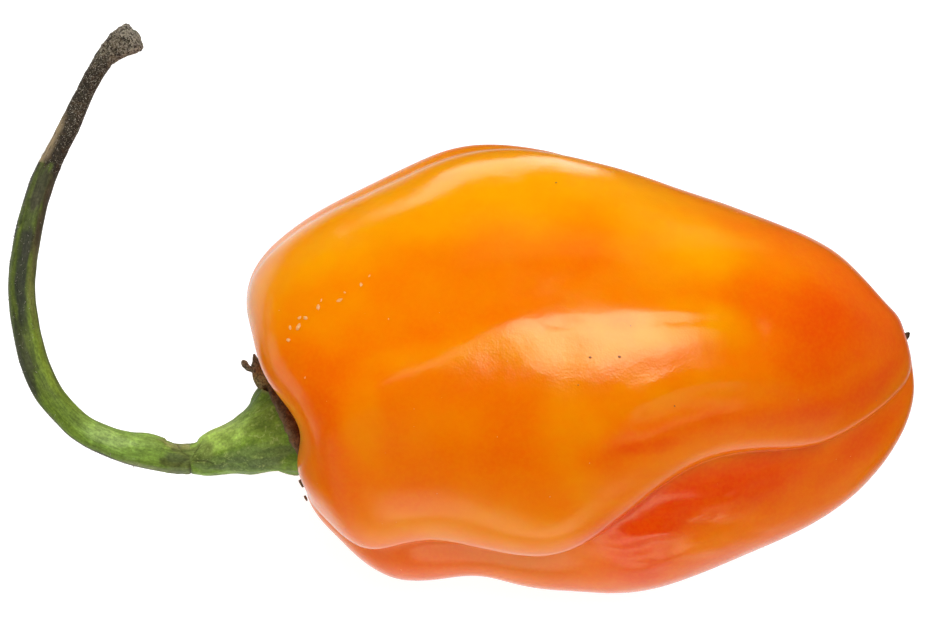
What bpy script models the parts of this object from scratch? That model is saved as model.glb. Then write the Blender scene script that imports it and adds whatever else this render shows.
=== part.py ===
"""Chilli pepper of the squat lantern kind, ripe, as picked with its stalk.

It lies on the plane z = 0, on the two lower lobes of its pod. Metres, +Z up. The origin is
the centre of the bottom of the whole pepper's box, and +X runs from the stalk to the blossom
end. Run with: blender --background --python part.py
"""
from math import degrees, pi, radians

import bmesh
import bpy
import numpy as np
from mathutils import Matrix, Vector

MM = 0.001

# how the pepper lies: its axis turned on the surface, its section rolled forwards
TURN = radians(8.33)
ROLL = radians(20.0)
REST_DEPTH = 0.4 * MM       # how deep the flats are that the two lower lobes rest on
SLAB = 0.1                  # side of the cutter that levels them

# Lengths below are millimetres in the pod's own frame: the first runs along the pod from the
# calyx, the second to its far side, the third to its top. Angles around the pod are degrees
# from its far side, over the top (90) and the near side (180) to the underside (270).
POD_SEGMENTS = 64
POD_RINGS = 44
POD_OFFSET = 0.8            # from the calyx's middle to the pod's own middle, to the far side

# Thirteen even stations from calyx to blossom end:
# place along the pod, lean of the section, half widths to the far, top, near and under side
POD_STATIONS = (
    (1.9, 0.0, 0.0, 0.0, 0.0, 0.0),
    (1.4, -0.3, 3.8, 3.8, 3.8, 3.8),
    (-0.5, -1.2, 7.9, 7.6, 7.2, 7.6),
    (0.6, -1.9, 12.5, 11.6, 10.8, 11.2),
    (4.1, -1.1, 16.0, 14.2, 13.7, 13.6),
    (10.0, -0.6, 18.5, 15.6, 15.6, 14.9),
    (18.0, -0.6, 20.8, 16.4, 17.6, 15.4),
    (26.0, -0.6, 19.1, 16.6, 19.1, 15.2),
    (34.0, -0.6, 15.0, 15.7, 17.7, 13.8),
    (42.0, -0.6, 10.7, 12.6, 15.3, 11.0),
    (48.0, -0.8, 6.7, 8.0, 10.9, 7.2),
    (51.0, -0.9, 2.5, 3.6, 5.2, 3.4),
    (51.6, 0.0, 0.0, 0.0, 0.0, 0.0),
)
# The folds between the three lobes, by station: angle around the pod, depth as a share of the
# radius, and half width on either side of the fold's line; steep is how sharp each side falls
FOLDS = {
    "near": {
        "angle": (150, 150, 154, 160, 158, 150, 157, 143, 131, 142, 146, 150, 150),
        "depth": (0, 0.02, 0.08, 0.13, 0.16, 0.16, 0.19, 0.21, 0.23, 0.21, 0.17, 0.10, 0),
        "before": (9,) * 13,
        "after": (12, 12, 12, 12, 12, 12, 12, 20, 26, 22, 18, 16, 16),
        "steep": (1.0, 1.7),
    },
    "far": {
        "angle": (8, 8, 8, 8, 8, 8, 6, 2, -6, -12, -16, -16, -16),
        "depth": (0, 0.02, 0.06, 0.06, 0.04, 0.05, 0.06, 0.05, 0.04, 0.03, 0.03, 0.02, 0),
        "before": (12,) * 13,
        "after": (12,) * 13,
        "steep": (1.0, 1.0),
    },
    "under": {
        "angle": (250,) * 13,
        "depth": (0, 0.02, 0.08, 0.10, 0.11, 0.12, 0.12, 0.11, 0.10, 0.08, 0.06, 0.03, 0),
        "before": (22,) * 13,
        "after": (22,) * 13,
        "steep": (1.2, 1.2),
    },
}
FOLD_ROUNDING = 0.12
# Swellings and dimples: place along, angle, half length, half angle, height
SWELLINGS = (
    (13.0, 182, 3.2, 16, -0.75),
    (19.0, 140, 5.0, 14, 0.9),
    (9.0, 86, 9.0, 17, 0.6),
    (30.0, 66, 9.0, 7, -0.15),
    (38.5, 75, 1.8, 22, -0.18),
    (22.0, 272, 9.0, 15, 1.15),
    (5.0, 150, 3.5, 16, 0.5),
    (6.0, 178, 3.0, 20, 0.33),
)
SWELLING_FADE = 6.0         # section radius below which they die out towards the poles
# Hollows where the calyx sits: share of the way, angle, half share, half angle, depth in mm
HOLLOWS = (
    (0.17, 95, 0.13, 20, 1.50),
    (0.17, 138, 0.13, 12, 0.22),
)

# The calyx opens like a horn from its neck to the rim: along, far, top, radius
CALYX_PATH = (
    (-8.45, -1.59, 0.0, 1.30),
    (-8.00, -1.64, 0.0, 1.38),
    (-7.20, -1.58, 0.0, 1.72),
    (-5.65, -1.25, 0.0, 2.15),
    (-3.95, -1.05, 0.1, 2.65),
    (-2.36, -0.87, 0.25, 3.25),
    (-0.95, -0.50, -0.03, 4.0),
)
RIM_AXIS = (0.95, 0.25, -0.19)      # the way the calyx's rim faces, into the pod

# The stalk bends round from the calyx's neck to the knob at its cut end
STALK_PATH = (
    (-8.79, -1.54, 0.0, 1.30),
    (-10.12, -1.35, 0.0, 1.25),
    (-11.87, -0.57, 0.1, 1.43),
    (-13.46, 0.0, 0.2, 1.33),
    (-15.41, 1.0, 0.3, 1.22),
    (-17.30, 2.38, 0.4, 1.15),
    (-18.75, 4.28, 0.4, 1.13),
    (-19.61, 5.82, 0.35, 1.17),
    (-20.34, 8.46, 0.2, 1.16),
    (-20.61, 11.69, 0.0, 1.14),
    (-20.48, 14.79, -0.3, 1.12),
    (-19.74, 17.81, -0.6, 1.10),
    (-18.66, 20.87, -1.0, 1.05),
    (-17.32, 23.64, -1.3, 0.99),
    (-15.94, 25.73, -1.6, 0.88),
    (-14.47, 27.90, -1.9, 0.86),
    (-12.97, 30.24, -2.2, 0.75),
    (-11.83, 31.78, -2.3, 0.77),
    (-11.15, 32.56, -2.4, 0.82),
    (-10.50, 33.15, -2.45, 0.96),
    (-9.85, 33.58, -2.5, 1.14),
    (-9.08, 33.87, -2.5, 1.28),
    (-8.40, 34.10, -2.5, 1.26),
)

# The dried flower's ring between calyx and pod, and the flap that curls off its far side
RING_MIDDLE = (-0.10, -0.28, -0.20)
RING_RADIUS = 3.3
RING_THICKNESS = 0.32
FLAP_PATH = (
    (-0.75, 2.65, 0.35, 0.30),
    (-1.55, 3.95, 0.60, 0.45),
    (-2.25, 5.10, 0.75, 0.42),
    (-2.65, 5.95, 0.80, 0.38),
    (-3.10, 6.35, 0.85, 0.24),
)

# The withered style, a short tip at the blossom end
STYLE_FOOT = (51.95, -0.35, 0.0)
STYLE_HEIGHT = 0.7
STYLE_RADII = (0.40, 0.16)

COLOURS = {                 # colour, roughness
    "pod": ((251, 122, 4), 0.24),
    "calyx": ((104, 133, 52), 0.6),
    "pedicel": ((92, 112, 52), 0.7),
    "dried_corolla": ((108, 68, 38), 0.85),
    "style_remnant": ((58, 40, 28), 0.85),
}


def spline(values, at, level):
    """Read a smooth curve through evenly spaced values; its ends run level or free."""
    y = np.asarray(values, float)
    last = len(y) - 1
    rows = np.zeros((last + 1, last + 1))
    right = np.zeros(last + 1)
    for i in range(1, last):
        rows[i, i - 1:i + 2] = 1, 4, 1
        right[i] = 6 * (y[i - 1] - 2 * y[i] + y[i + 1])
    rows[0, 0] = rows[last, last] = 1
    if level:
        rows[0, :2] = 2, 1
        rows[last, last - 1:] = 1, 2
        right[0] = 6 * (y[1] - y[0])
        right[last] = -6 * (y[last] - y[last - 1])
    bend = np.linalg.solve(rows, right)
    x = np.clip(at, 0, 1) * last
    i = np.minimum(x.astype(int), last - 1)
    f = x - i
    g = 1 - f
    return g * y[i] + f * y[i + 1] + ((g**3 - g) * bend[i] + (f**3 - f) * bend[i + 1]) / 6


def turn_between(angle, middle):
    """Signed degrees from middle to angle, the short way round."""
    return (angle - middle + 180) % 360 - 180


def fold_shape(turn, before, after, steep):
    """One at the fold's line, falling to nothing on both sides."""
    width = np.where(turn < 0, before, after)
    power = np.where(turn < 0, steep[0], steep[1])
    reach = np.sqrt((turn / width)**2 + FOLD_ROUNDING**2) - FOLD_ROUNDING
    return np.exp(-reach**power)


def oval_radius(cosine, sine, far, top, near, under):
    """Radius of a section that joins its four half widths smoothly."""
    across = (1 + cosine) / 2 / far**2 + (1 - cosine) / 2 / near**2
    upright = (1 + sine) / 2 / top**2 + (1 - sine) / 2 / under**2
    return 1 / np.sqrt(cosine**2 * across + sine**2 * upright)


def pod_point(t, angle):
    """The pod's skin at share t of its length and an angle in degrees, in millimetres."""
    columns = np.array(POD_STATIONS).T
    along, lean = (spline(column, t, True) for column in columns[:2])
    widths = [np.maximum(spline(column, t, False), 1e-9) for column in columns[2:]]
    cosine, sine = np.cos(np.radians(angle)), np.sin(np.radians(angle))
    radius = oval_radius(cosine, sine, *widths)
    for place, middle, length, spread, height in SWELLINGS:
        away = ((along - place) / length)**2 + (turn_between(angle, middle) / spread)**2
        radius = radius + height * np.exp(-away) * np.minimum(1, radius / SWELLING_FADE)
    for fold in FOLDS.values():
        turn = turn_between(angle, spline(fold["angle"], t, True))
        sides = [spline(fold[side], t, True) for side in ("before", "after")]
        depth = spline(fold["depth"], t, False)
        radius = radius * (1 - depth * fold_shape(turn, *sides, fold["steep"]))
    for share, middle, length, spread, depth in HOLLOWS:
        away = ((t - share) / length)**2 + (turn_between(angle, middle) / spread)**2
        along = along + depth * np.exp(-away)
    return np.stack([along + lean * cosine, radius * cosine + POD_OFFSET, radius * sine], -1)


def material(name):
    """A plain finish in the piece's own colour."""
    colour, roughness = COLOURS[name]
    finish = bpy.data.materials.new(name)
    finish.use_nodes = True
    shader = finish.node_tree.nodes["Principled BSDF"]
    linear = [((c / 255 + 0.055) / 1.055)**2.4 if c > 10 else c / 255 / 12.92 for c in colour]
    shader.inputs["Base Color"].default_value = (*linear, 1)
    shader.inputs["Roughness"].default_value = roughness
    shader.inputs["Metallic"].default_value = 0
    return finish


def add_object(name, data, collection, parent):
    """Put a mesh or curve in a collection, under the parent that lays the pepper down."""
    piece = bpy.data.objects.new(name, data)
    if name in COLOURS:
        data.materials.append(material(name))
    collection.objects.link(piece)
    piece.parent = parent
    return piece


def mesh_of(name, form):
    """A smooth-shaded mesh from a bmesh."""
    mesh = bpy.data.meshes.new(name)
    form.to_mesh(mesh)
    form.free()
    mesh.shade_smooth()
    return mesh


def facing(direction):
    """The turn that points +Z in a direction."""
    return Vector(direction).to_track_quat("Z", "Y").to_matrix().to_4x4()


def make_pod(collection, parent):
    """A sphere whose poles are calyx and blossom end, drawn out to the pod's skin."""
    form = bmesh.new()
    bmesh.ops.create_uvsphere(form, u_segments=POD_SEGMENTS, v_segments=POD_RINGS, radius=1)
    mesh = mesh_of("pod", form)
    unit = np.empty(len(mesh.vertices) * 3, np.float32)
    mesh.vertices.foreach_get("co", unit)
    x, y, z = unit.reshape(-1, 3).astype(float).T
    share = np.arccos(np.clip(-z, -1, 1)) / pi
    skin = pod_point(share, np.degrees(np.arctan2(y, x))) * MM
    mesh.vertices.foreach_set("co", skin.astype(np.float32).ravel())
    mesh.update()
    return add_object("pod", mesh, collection, parent)


def make_tube(name, path, collection, parent):
    """A round curve whose thickness follows its points."""
    curve = bpy.data.curves.new(name, "CURVE")
    curve.dimensions = "3D"
    curve.bevel_depth = MM
    curve.bevel_resolution = 3
    curve.resolution_u = 3
    curve.use_fill_caps = True
    line = curve.splines.new("BEZIER")
    line.bezier_points.add(len(path) - 1)
    for point, (along, far, top, radius) in zip(line.bezier_points, path):
        point.co = Vector((along, far, top)) * MM
        point.radius = radius
        point.handle_left_type = point.handle_right_type = "AUTO"
    return add_object(name, curve, collection, parent)


def curve_to_mesh(piece):
    """Turn a curve object into a mesh object of the same name, with its caps welded."""
    name, parent = piece.name, piece.parent
    graph = bpy.context.evaluated_depsgraph_get()
    mesh = bpy.data.meshes.new_from_object(piece.evaluated_get(graph))
    form = bmesh.new()
    form.from_mesh(mesh)
    bmesh.ops.remove_doubles(form, verts=form.verts, dist=1e-6)
    form.to_mesh(mesh)
    form.free()
    collection = piece.users_collection[0]
    bpy.data.objects.remove(piece)
    solid = bpy.data.objects.new(name, mesh)
    collection.objects.link(solid)
    solid.parent = parent
    return solid


def make_corolla(collection, cutters, parent):
    """The dried flower: a thin ring round the calyx's foot, joined to its curled flap."""
    bpy.ops.mesh.primitive_torus_add(
        major_segments=40, minor_segments=10,
        major_radius=RING_RADIUS * MM, minor_radius=RING_THICKNESS * MM)
    ring = bpy.context.object
    ring.data.transform(Matrix.Translation(Vector(RING_MIDDLE) * MM) @ facing(RIM_AXIS))
    ring.data.shade_smooth()
    mesh = ring.data
    bpy.data.objects.remove(ring)
    corolla = add_object("dried_corolla", mesh, collection, parent)
    flap = curve_to_mesh(make_tube("dried_corolla_flap", FLAP_PATH, cutters, parent))
    hide_cutter(flap)
    join = corolla.modifiers.new("join flap", "BOOLEAN")
    join.operation = "UNION"
    join.object = flap
    return corolla


def make_style(collection, parent):
    """The withered style, a small blunt cone."""
    form = bmesh.new()
    foot, tip = (radius * MM for radius in STYLE_RADII)
    bmesh.ops.create_cone(
        form, cap_ends=True, segments=12, radius1=foot, radius2=tip, depth=STYLE_HEIGHT * MM,
        matrix=Matrix.Translation(Vector(STYLE_FOOT) * MM) @ facing((1, 0, 0))
        @ Matrix.Translation((0, 0, STYLE_HEIGHT * MM / 2)))
    return add_object("style_remnant", mesh_of("style_remnant", form), collection, parent)


def hide_cutter(cutter):
    """Leave an object out of the model."""
    cutter.hide_render = True
    cutter.display_type = "WIRE"


def world_points(piece):
    """Every point of a piece as it stands, modifiers and caps included."""
    bpy.context.view_layer.update()
    graph = bpy.context.evaluated_depsgraph_get()
    solid = piece.evaluated_get(graph)
    mesh = solid.to_mesh()
    points = np.array([solid.matrix_world @ vertex.co for vertex in mesh.vertices])
    solid.to_mesh_clear()
    return points


def lay_down(parent, pod, pieces):
    """Set the pepper with its flats on z = 0 and its box's middle over the origin."""
    parent.matrix_world = Matrix.Rotation(ROLL, 4, "X") @ Matrix.Rotation(TURN, 4, "Z")
    points = np.concatenate([world_points(piece) for piece in pieces])
    middle = (points.min(axis=0) + points.max(axis=0)) / 2
    lowest = world_points(pod)[:, 2].min()
    parent.location = (-middle[0], -middle[1], -lowest - REST_DEPTH)


def level_lobes(pod, cutters):
    """Cut the two flats that the pod rests on, with a slab under z = 0."""
    bpy.ops.mesh.primitive_cube_add(size=SLAB, location=(0, 0, -SLAB / 2))
    slab = bpy.context.object
    slab.name = "surface_cutter"
    for collection in slab.users_collection:
        collection.objects.unlink(slab)
    cutters.objects.link(slab)
    hide_cutter(slab)
    cut = pod.modifiers.new("level lobes", "BOOLEAN")
    cut.operation = "DIFFERENCE"
    cut.object = slab


def new_collection(name):
    collection = bpy.data.collections.new(name)
    bpy.context.scene.collection.children.link(collection)
    return collection


def main():
    for piece in list(bpy.data.objects):
        bpy.data.objects.remove(piece)
    pepper = new_collection("chilli_pepper")
    cutters = new_collection("cutters")
    lying = bpy.data.objects.new("lying", None)
    pepper.objects.link(lying)

    pod = make_pod(pepper, lying)
    pieces = [
        pod,
        make_tube("calyx", CALYX_PATH, pepper, lying),
        make_tube("pedicel", STALK_PATH, pepper, lying),
        make_corolla(pepper, cutters, lying),
        make_style(pepper, lying),
    ]
    lay_down(lying, pod, pieces)
    level_lobes(pod, cutters)


main()
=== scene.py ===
"""A ripe chilli pepper of the squat lantern kind, as picked, dressed round its solid frame.

The skin, calyx, stalk, dried flower and withered style are built here over the frame's plain
solids. Lengths given as "mm" are in the pod's own frame: the first runs along the pod from the
calyx, the second to its far side, the third to its top. Angles around the pod are degrees from
its far side, over the top (90) and the near side (180) to the underside (270).
"""

from math import cos, pi, radians, sin

import bmesh
import bpy
import numpy as np
from bpy.props import FloatProperty, FloatVectorProperty, IntProperty, PointerProperty
from mathutils import Matrix, Vector, noise


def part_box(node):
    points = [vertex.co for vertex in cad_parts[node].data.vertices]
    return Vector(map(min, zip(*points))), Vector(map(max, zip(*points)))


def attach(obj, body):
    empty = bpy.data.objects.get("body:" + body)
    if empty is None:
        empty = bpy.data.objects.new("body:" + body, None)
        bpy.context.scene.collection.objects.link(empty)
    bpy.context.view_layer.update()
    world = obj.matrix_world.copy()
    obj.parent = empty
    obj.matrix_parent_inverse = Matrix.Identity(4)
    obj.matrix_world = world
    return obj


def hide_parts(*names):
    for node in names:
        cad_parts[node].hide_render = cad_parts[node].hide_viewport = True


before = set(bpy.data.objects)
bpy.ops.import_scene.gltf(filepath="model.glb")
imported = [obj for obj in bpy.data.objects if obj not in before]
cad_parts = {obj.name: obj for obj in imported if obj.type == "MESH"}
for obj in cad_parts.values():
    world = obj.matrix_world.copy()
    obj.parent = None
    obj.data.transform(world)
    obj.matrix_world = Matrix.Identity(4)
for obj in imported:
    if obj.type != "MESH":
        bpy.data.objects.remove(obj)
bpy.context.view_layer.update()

bl_info = {
    "name": "Chilli Pepper",
    "version": (1, 0, 0),
    "blender": (4, 5, 0),
    "location": "3D View > Sidebar > Pepper",
    "description": "Dresses the solid frame of a ripe chilli pepper in skin, calyx and stalk",
    "category": "Add Mesh",
}

MM = 0.001
BODY = "root"
FAR = np.array((0.0, 1.0, 0.0))
TOP = np.array((0.0, 0.0, 1.0))

# ---------------------------------------------------------------- how the pepper lies

TURN = radians(8.33)        # the pod's axis, turned on the surface
ROLL = radians(20.0)        # its section, rolled forwards
LYING = np.array(Matrix.Rotation(ROLL, 3, "X") @ Matrix.Rotation(TURN, 3, "Z"))

# ---------------------------------------------------------------- the pod's shape

POD_OFFSET = 0.8            # mm from the calyx's middle to the pod's own middle, to the far side
# Thirteen even stations from calyx to blossom end, mm:
# place along the pod, lean of the section, half widths to the far, top, near and under side
POD_STATIONS = (
    (1.9, 0.0, 0.0, 0.0, 0.0, 0.0),
    (1.4, -0.3, 3.8, 3.8, 3.8, 3.8),
    (-0.5, -1.2, 7.9, 7.6, 7.2, 7.6),
    (0.6, -1.9, 12.5, 11.6, 10.8, 11.2),
    (4.1, -1.1, 16.0, 14.2, 13.7, 13.6),
    (10.0, -0.6, 18.5, 15.6, 15.6, 14.9),
    (18.0, -0.6, 20.8, 16.4, 17.6, 15.4),
    (26.0, -0.6, 19.1, 16.6, 19.1, 15.2),
    (34.0, -0.6, 15.0, 15.7, 17.7, 13.8),
    (42.0, -0.6, 10.7, 12.6, 15.3, 11.0),
    (48.0, -0.8, 6.7, 8.0, 10.9, 7.2),
    (51.0, -0.9, 2.5, 3.6, 5.2, 3.4),
    (51.6, 0.0, 0.0, 0.0, 0.0, 0.0),
)
# The folds between the three lobes, by station: angle around the pod, depth as a share of the
# radius, and half width on either side of the fold's line; steep is how sharp each side falls
FOLDS = {
    "near": {
        "angle": (150, 150, 154, 160, 158, 150, 157, 143, 131, 142, 146, 150, 150),
        "depth": (0, 0.02, 0.08, 0.13, 0.16, 0.16, 0.19, 0.21, 0.23, 0.21, 0.17, 0.10, 0),
        "before": (9,) * 13,
        "after": (12, 12, 12, 12, 12, 12, 12, 20, 26, 22, 18, 16, 16),
        "steep": (1.0, 1.7),
    },
    "far": {
        "angle": (8, 8, 8, 8, 8, 8, 6, 2, -6, -12, -16, -16, -16),
        "depth": (0, 0.02, 0.06, 0.06, 0.04, 0.05, 0.06, 0.05, 0.04, 0.03, 0.03, 0.02, 0),
        "before": (12,) * 13,
        "after": (12,) * 13,
        "steep": (1.0, 1.0),
    },
    "under": {
        "angle": (250,) * 13,
        "depth": (0, 0.02, 0.08, 0.10, 0.11, 0.12, 0.12, 0.11, 0.10, 0.08, 0.06, 0.03, 0),
        "before": (22,) * 13,
        "after": (22,) * 13,
        "steep": (1.2, 1.2),
    },
}
FOLD_ROUNDING = 0.12
# Swellings and dimples: mm along, angle, half length in mm, half angle, height in mm
SWELLINGS = (
    (13.0, 182, 3.2, 16, -0.75),
    (19.0, 140, 5.0, 14, 0.9),
    (9.0, 86, 9.0, 17, 0.6),
    (30.0, 66, 9.0, 7, -0.15),
    (38.5, 75, 1.8, 22, -0.18),
    (22.0, 272, 9.0, 15, 1.15),
    (5.0, 150, 3.5, 16, 0.5),
    (6.0, 178, 3.0, 20, 0.33),
)
SOFTNESS = 0.0001           # metres over which the skin gives way to the surface
SWELLING_FADE = 6.0         # mm of section radius below which they die out towards the poles
# Hollows where the calyx sits: share of the way, angle, half share, half angle, depth in mm
HOLLOWS = (
    (0.17, 95, 0.13, 20, 1.50),
    (0.17, 138, 0.13, 12, 0.22),
)

# Low ridges and creases on the skin, too slight for the solid frame: half width and height
# in mm, then the points of its line as (mm along, angle)
RIDGES = (
    (1.7, 0.16, ((3.5, 98), (6.5, 88), (9.1, 83), (12.6, 80), (16.8, 75), (20.0, 71))),
    (1.1, 0.10, ((28.5, 98), (31.0, 95), (35.0, 95), (39.5, 98))),
    (1.1, -0.10, ((28.5, 105), (31.0, 103), (35.0, 103.5), (39.5, 107))),
    (0.45, -0.050, ((22.5, 74.5), (26.0, 76.5), (31.0, 77.5), (37.0, 80))),
    (2.4, -0.10, ((23.5, 84), (29.0, 86))),
    (1.2, -0.07, ((40.5, 58), (38.5, 72), (38.3, 82))),
)

# How the skin's tone varies, with ripeness and with painted light and shade: mm along, angle,
# half length in mm, half angle, and tone from -1 (red) to 1 (yellow orange). The red patches in
# the near fold, at angles of about 144 to 163, are painted shade in its hollow; the pale ones
# along the main highlight, at angles of about 78 to 81, are part of a painted highlight
TONES = (
    (47.0, 84, 8.6, 44, -0.52),
    (44.6, 84, 3.6, 11, -0.22),
    (41.5, 99, 5.0, 7, -0.14),
    (39.5, 88, 1.8, 5, 0.20),
    (47.0, 120, 3.5, 9, -0.30),
    (34.0, 52, 5.0, 14, 0.62),
    (17.0, 24, 20.0, 21, 0.80),
    (4.0, 48, 6.0, 16, 0.30),
    (36.5, 82, 2.4, 7, 0.40),
    (24.5, 56, 3.4, 10, -0.06),
    (14.3, 102, 5.9, 16, -0.20),
    (18.3, 101, 2.3, 11, -0.16),
    (22.8, 106, 2.3, 19, 0.24),
    (6.4, 92, 1.7, 14, 0.30),
    (3.0, 104, 2.0, 24, -0.45),
    (14.0, 132, 9.5, 8, 0.30),
    # painted shade: the red patches at angles 144 to 163 in this list lie in the near fold's hollow
    (32.5, 144, 9.5, 12, -0.95),
    (31.0, 195, 14.0, 34, -0.48),
    (26.5, 163, 3.5, 7, -0.38),
    (32.5, 157, 3.2, 8, 0.32),
    (41.0, 155, 5.0, 8, -0.18),
    (26.5, 144, 3.6, 9, -0.45),
    (23.8, 155, 2.6, 6, -0.40),
    (45.0, 157, 3.6, 7, -0.30),
    # the next three: paler skin under the main highlight, part of a painted highlight
    (24.0, 81, 6.5, 6, 0.42),
    (33.5, 79, 4.2, 6, 0.40),
    (12.0, 78, 4.5, 4, 0.34),
    (18.0, 97, 8.0, 8, 0.16),
    (28.5, 97, 2.6, 5, 0.18),
    (7.0, 65, 3.6, 8, 0.20),
    (14.8, 62, 4.0, 7, 0.14),
    (41.6, 99, 2.6, 5, -0.14),
    (45.7, 110, 2.4, 5, 0.14),
    (17.5, 76, 3.0, 4, 0.20),
    (24.0, 34, 11.0, 14, 0.25),
    (7.0, 163, 6.0, 18, -0.42),
    (8.6, 116, 2.0, 7, -0.20),
    (47.5, 152, 3.0, 10, -0.35),
    (27.0, 162, 3.0, 7, -0.20),
    (39.0, 54, 6.5, 12, 0.38),
    (29.5, 70, 6.0, 8, 0.16),
    (36.0, 98, 7.0, 6, 0.24),
    (3.8, 76, 3.4, 15, -0.20),
    (12.5, 98, 3.0, 9, 0.18),
    (28.8, 111.5, 2.4, 2.6, -0.40),
    (39.7, 107, 3.0, 5, 0.18),
    (10.0, 190, 8.0, 30, -0.12),
)
CRUMPLED = (30.5, 153, 7.5, 13)     # the crumpled part of the near fold, given in the same way
TONE_DRIFT = (1.0, 4.0)     # how far, in mm along and degrees, their outlines wander
# Painted shade: a redder line on the near lobe just above the near fold, where its skin turns
# down: half width in mm, tone, then its points (mm along, angle)
FOLD_SHADE_LINE = (1.25, -0.42, ((24.0, 113), (26.9, 110.5), (29.0, 109.5), (33.0, 108.5), (35.4, 109),
                          (38.5, 112.5), (43.0, 118)))

# Small raised scars, their pale colour partly a painted glint on each bump: share of the way
# along, angle, size in mm
SCARS = (
    (0.293, 62, 0.44), (0.301, 58, 0.37), (0.313, 59, 0.57), (0.318, 56, 0.37),
    (0.326, 57, 0.42), (0.345, 55, 0.54), (0.350, 53, 0.42), (0.371, 55, 0.52),
    (0.378, 53, 0.37), (0.396, 52, 0.49), (0.405, 50, 0.35), (0.301, 77, 0.20),
    (0.326, 86, 0.24), (0.399, 87, 0.18), (0.404, 88, 0.14), (0.422, 89, 0.20),
    (0.424, 92, 0.16), (0.449, 90, 0.16), (0.416, 65, 0.16), (0.482, 106, 0.22),
)
# Where specks lie closer: how much, mm along, angle, half length in mm, half angle
SPECKLED = ((1.1, 12.0, 118, 12.0, 32), (0.7, 44.0, 80, 6.0, 40))
DARK_SPOTS = (
    (0.574, 31, 0.20), (0.574, 85, 0.22), (0.598, 86, 0.24), (0.636, 102, 0.15),
    (0.824, 130, 0.17), (0.560, 92, 0.13), (0.612, 78, 0.12), (0.480, 118, 0.12),
)

# ---------------------------------------------------------------- calyx, stalk, flower, style

# The calyx opens like a horn from its neck to the rim, mm: along, far, top, radius
CALYX_PATH = (
    (-8.60, -1.57, 0.0, 1.30),
    (-8.00, -1.64, 0.0, 1.38),
    (-7.20, -1.58, 0.0, 1.73),
    (-5.65, -1.25, 0.0, 2.15),
    (-3.95, -1.05, 0.1, 2.65),
    (-2.36, -0.87, 0.25, 3.25),
    (-0.83, -0.47, 0.0, 4.03),
)
# How far the rim reaches beyond that: degrees from its far side, half width, mm
CALYX_TEETH = ((40, 24, 0.34), (114, 18, 0.42), (84, 18, -0.02))
CALYX_RAGS = ((0.27, 3, 0.5), (0.15, 22, 4.5), (0.24, 9, 2.5))      # depth in mm, how fine, place
CALYX_RIBS = (5, 40, 0.018)         # how many, degrees to the first, height by radius
# Where its far side is hollow: share of the way, angle, half share, half angle; and depth in mm
CALYX_HOLLOW = (0.50, 15, 0.17, 48)
CALYX_HOLLOW_DEPTH = 0.34
# The lip inside its rim, ring by ring: share of the rim's radius and mm onwards
CALYX_LIP = ((0.985, 0.05), (0.93, 0.03), (0.88, -0.10), (0.80, -0.22), (0.60, -0.30),
             (0.35, -0.34), (0.12, -0.35))
# The stalk bends round from the calyx's neck to the knob at its cut end
STALK_PATH = (
    (-8.10, -1.60, 0.0, 1.14),
    (-8.60, -1.57, 0.0, 1.28),
    (-10.12, -1.30, 0.0, 1.25),
    (-11.87, -0.57, 0.1, 1.40),
    (-13.46, 0.0, 0.2, 1.33),
    (-15.41, 1.0, 0.3, 1.22),
    (-17.30, 2.38, 0.4, 1.15),
    (-18.75, 4.28, 0.4, 1.13),
    (-19.61, 5.82, 0.35, 1.17),
    (-20.34, 8.46, 0.2, 1.16),
    (-20.61, 11.69, 0.0, 1.14),
    (-20.48, 14.79, -0.3, 1.12),
    (-19.74, 17.81, -0.6, 1.10),
    (-18.66, 20.87, -1.0, 1.05),
    (-17.32, 23.64, -1.3, 0.99),
    (-15.94, 25.73, -1.6, 0.88),
    (-14.47, 27.90, -1.9, 0.86),
    (-12.97, 30.24, -2.2, 0.75),
    (-11.83, 31.78, -2.3, 0.77),
    (-11.15, 32.56, -2.4, 0.82),
    (-10.50, 33.15, -2.5, 0.96),
    (-9.85, 33.56, -2.55, 1.14),
    (-9.05, 33.85, -2.45, 1.28),
    (-8.44, 34.06, -2.25, 1.27),
    (-8.31, 34.12, -2.20, 1.00),
    (-8.29, 34.13, -2.19, 0.25),
)
# Creases that run from the ring where stalk and calyx meet, sunk and darkened as painted shade,
# each a line of (mm from the ring, degrees around the neck)
# the shoulder is a softer painted shade round each crease
CREASE_WIDTHS = (0.075, 0.22)       # mm, of a crease and of its shallow shoulder
CALYX_CREASES = (
    ((0.05, 80), (0.65, 56), (1.0, 48), (1.6, 33)),
    ((0.10, 80), (0.12, 99), (0.77, 97), (1.35, 103), (1.75, 115)),
    ((0.12, 99), (0.02, 119), (0.0, 165), (0.0, 200)),
)
STALK_CREASES = (
    ((0.05, 80), (0.55, 63), (1.15, 52), (1.7, 50)),
    ((0.55, 63), (0.95, 40), (1.20, 12)),
    ((0.05, 88), (0.50, 98), (0.95, 112)),
)
# Colours of stalk and calyx; the first is the green of a side the light falls on, painted light
LIT_SIDE_GREEN = (0.34, 0.44, 0.085)
FRESH = (0.215, 0.335, 0.055)
LEAF = (0.150, 0.225, 0.024)
OLIVE = (0.092, 0.106, 0.022)
TAN = (0.370, 0.275, 0.160)
RUST = (0.110, 0.060, 0.030)
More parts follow.
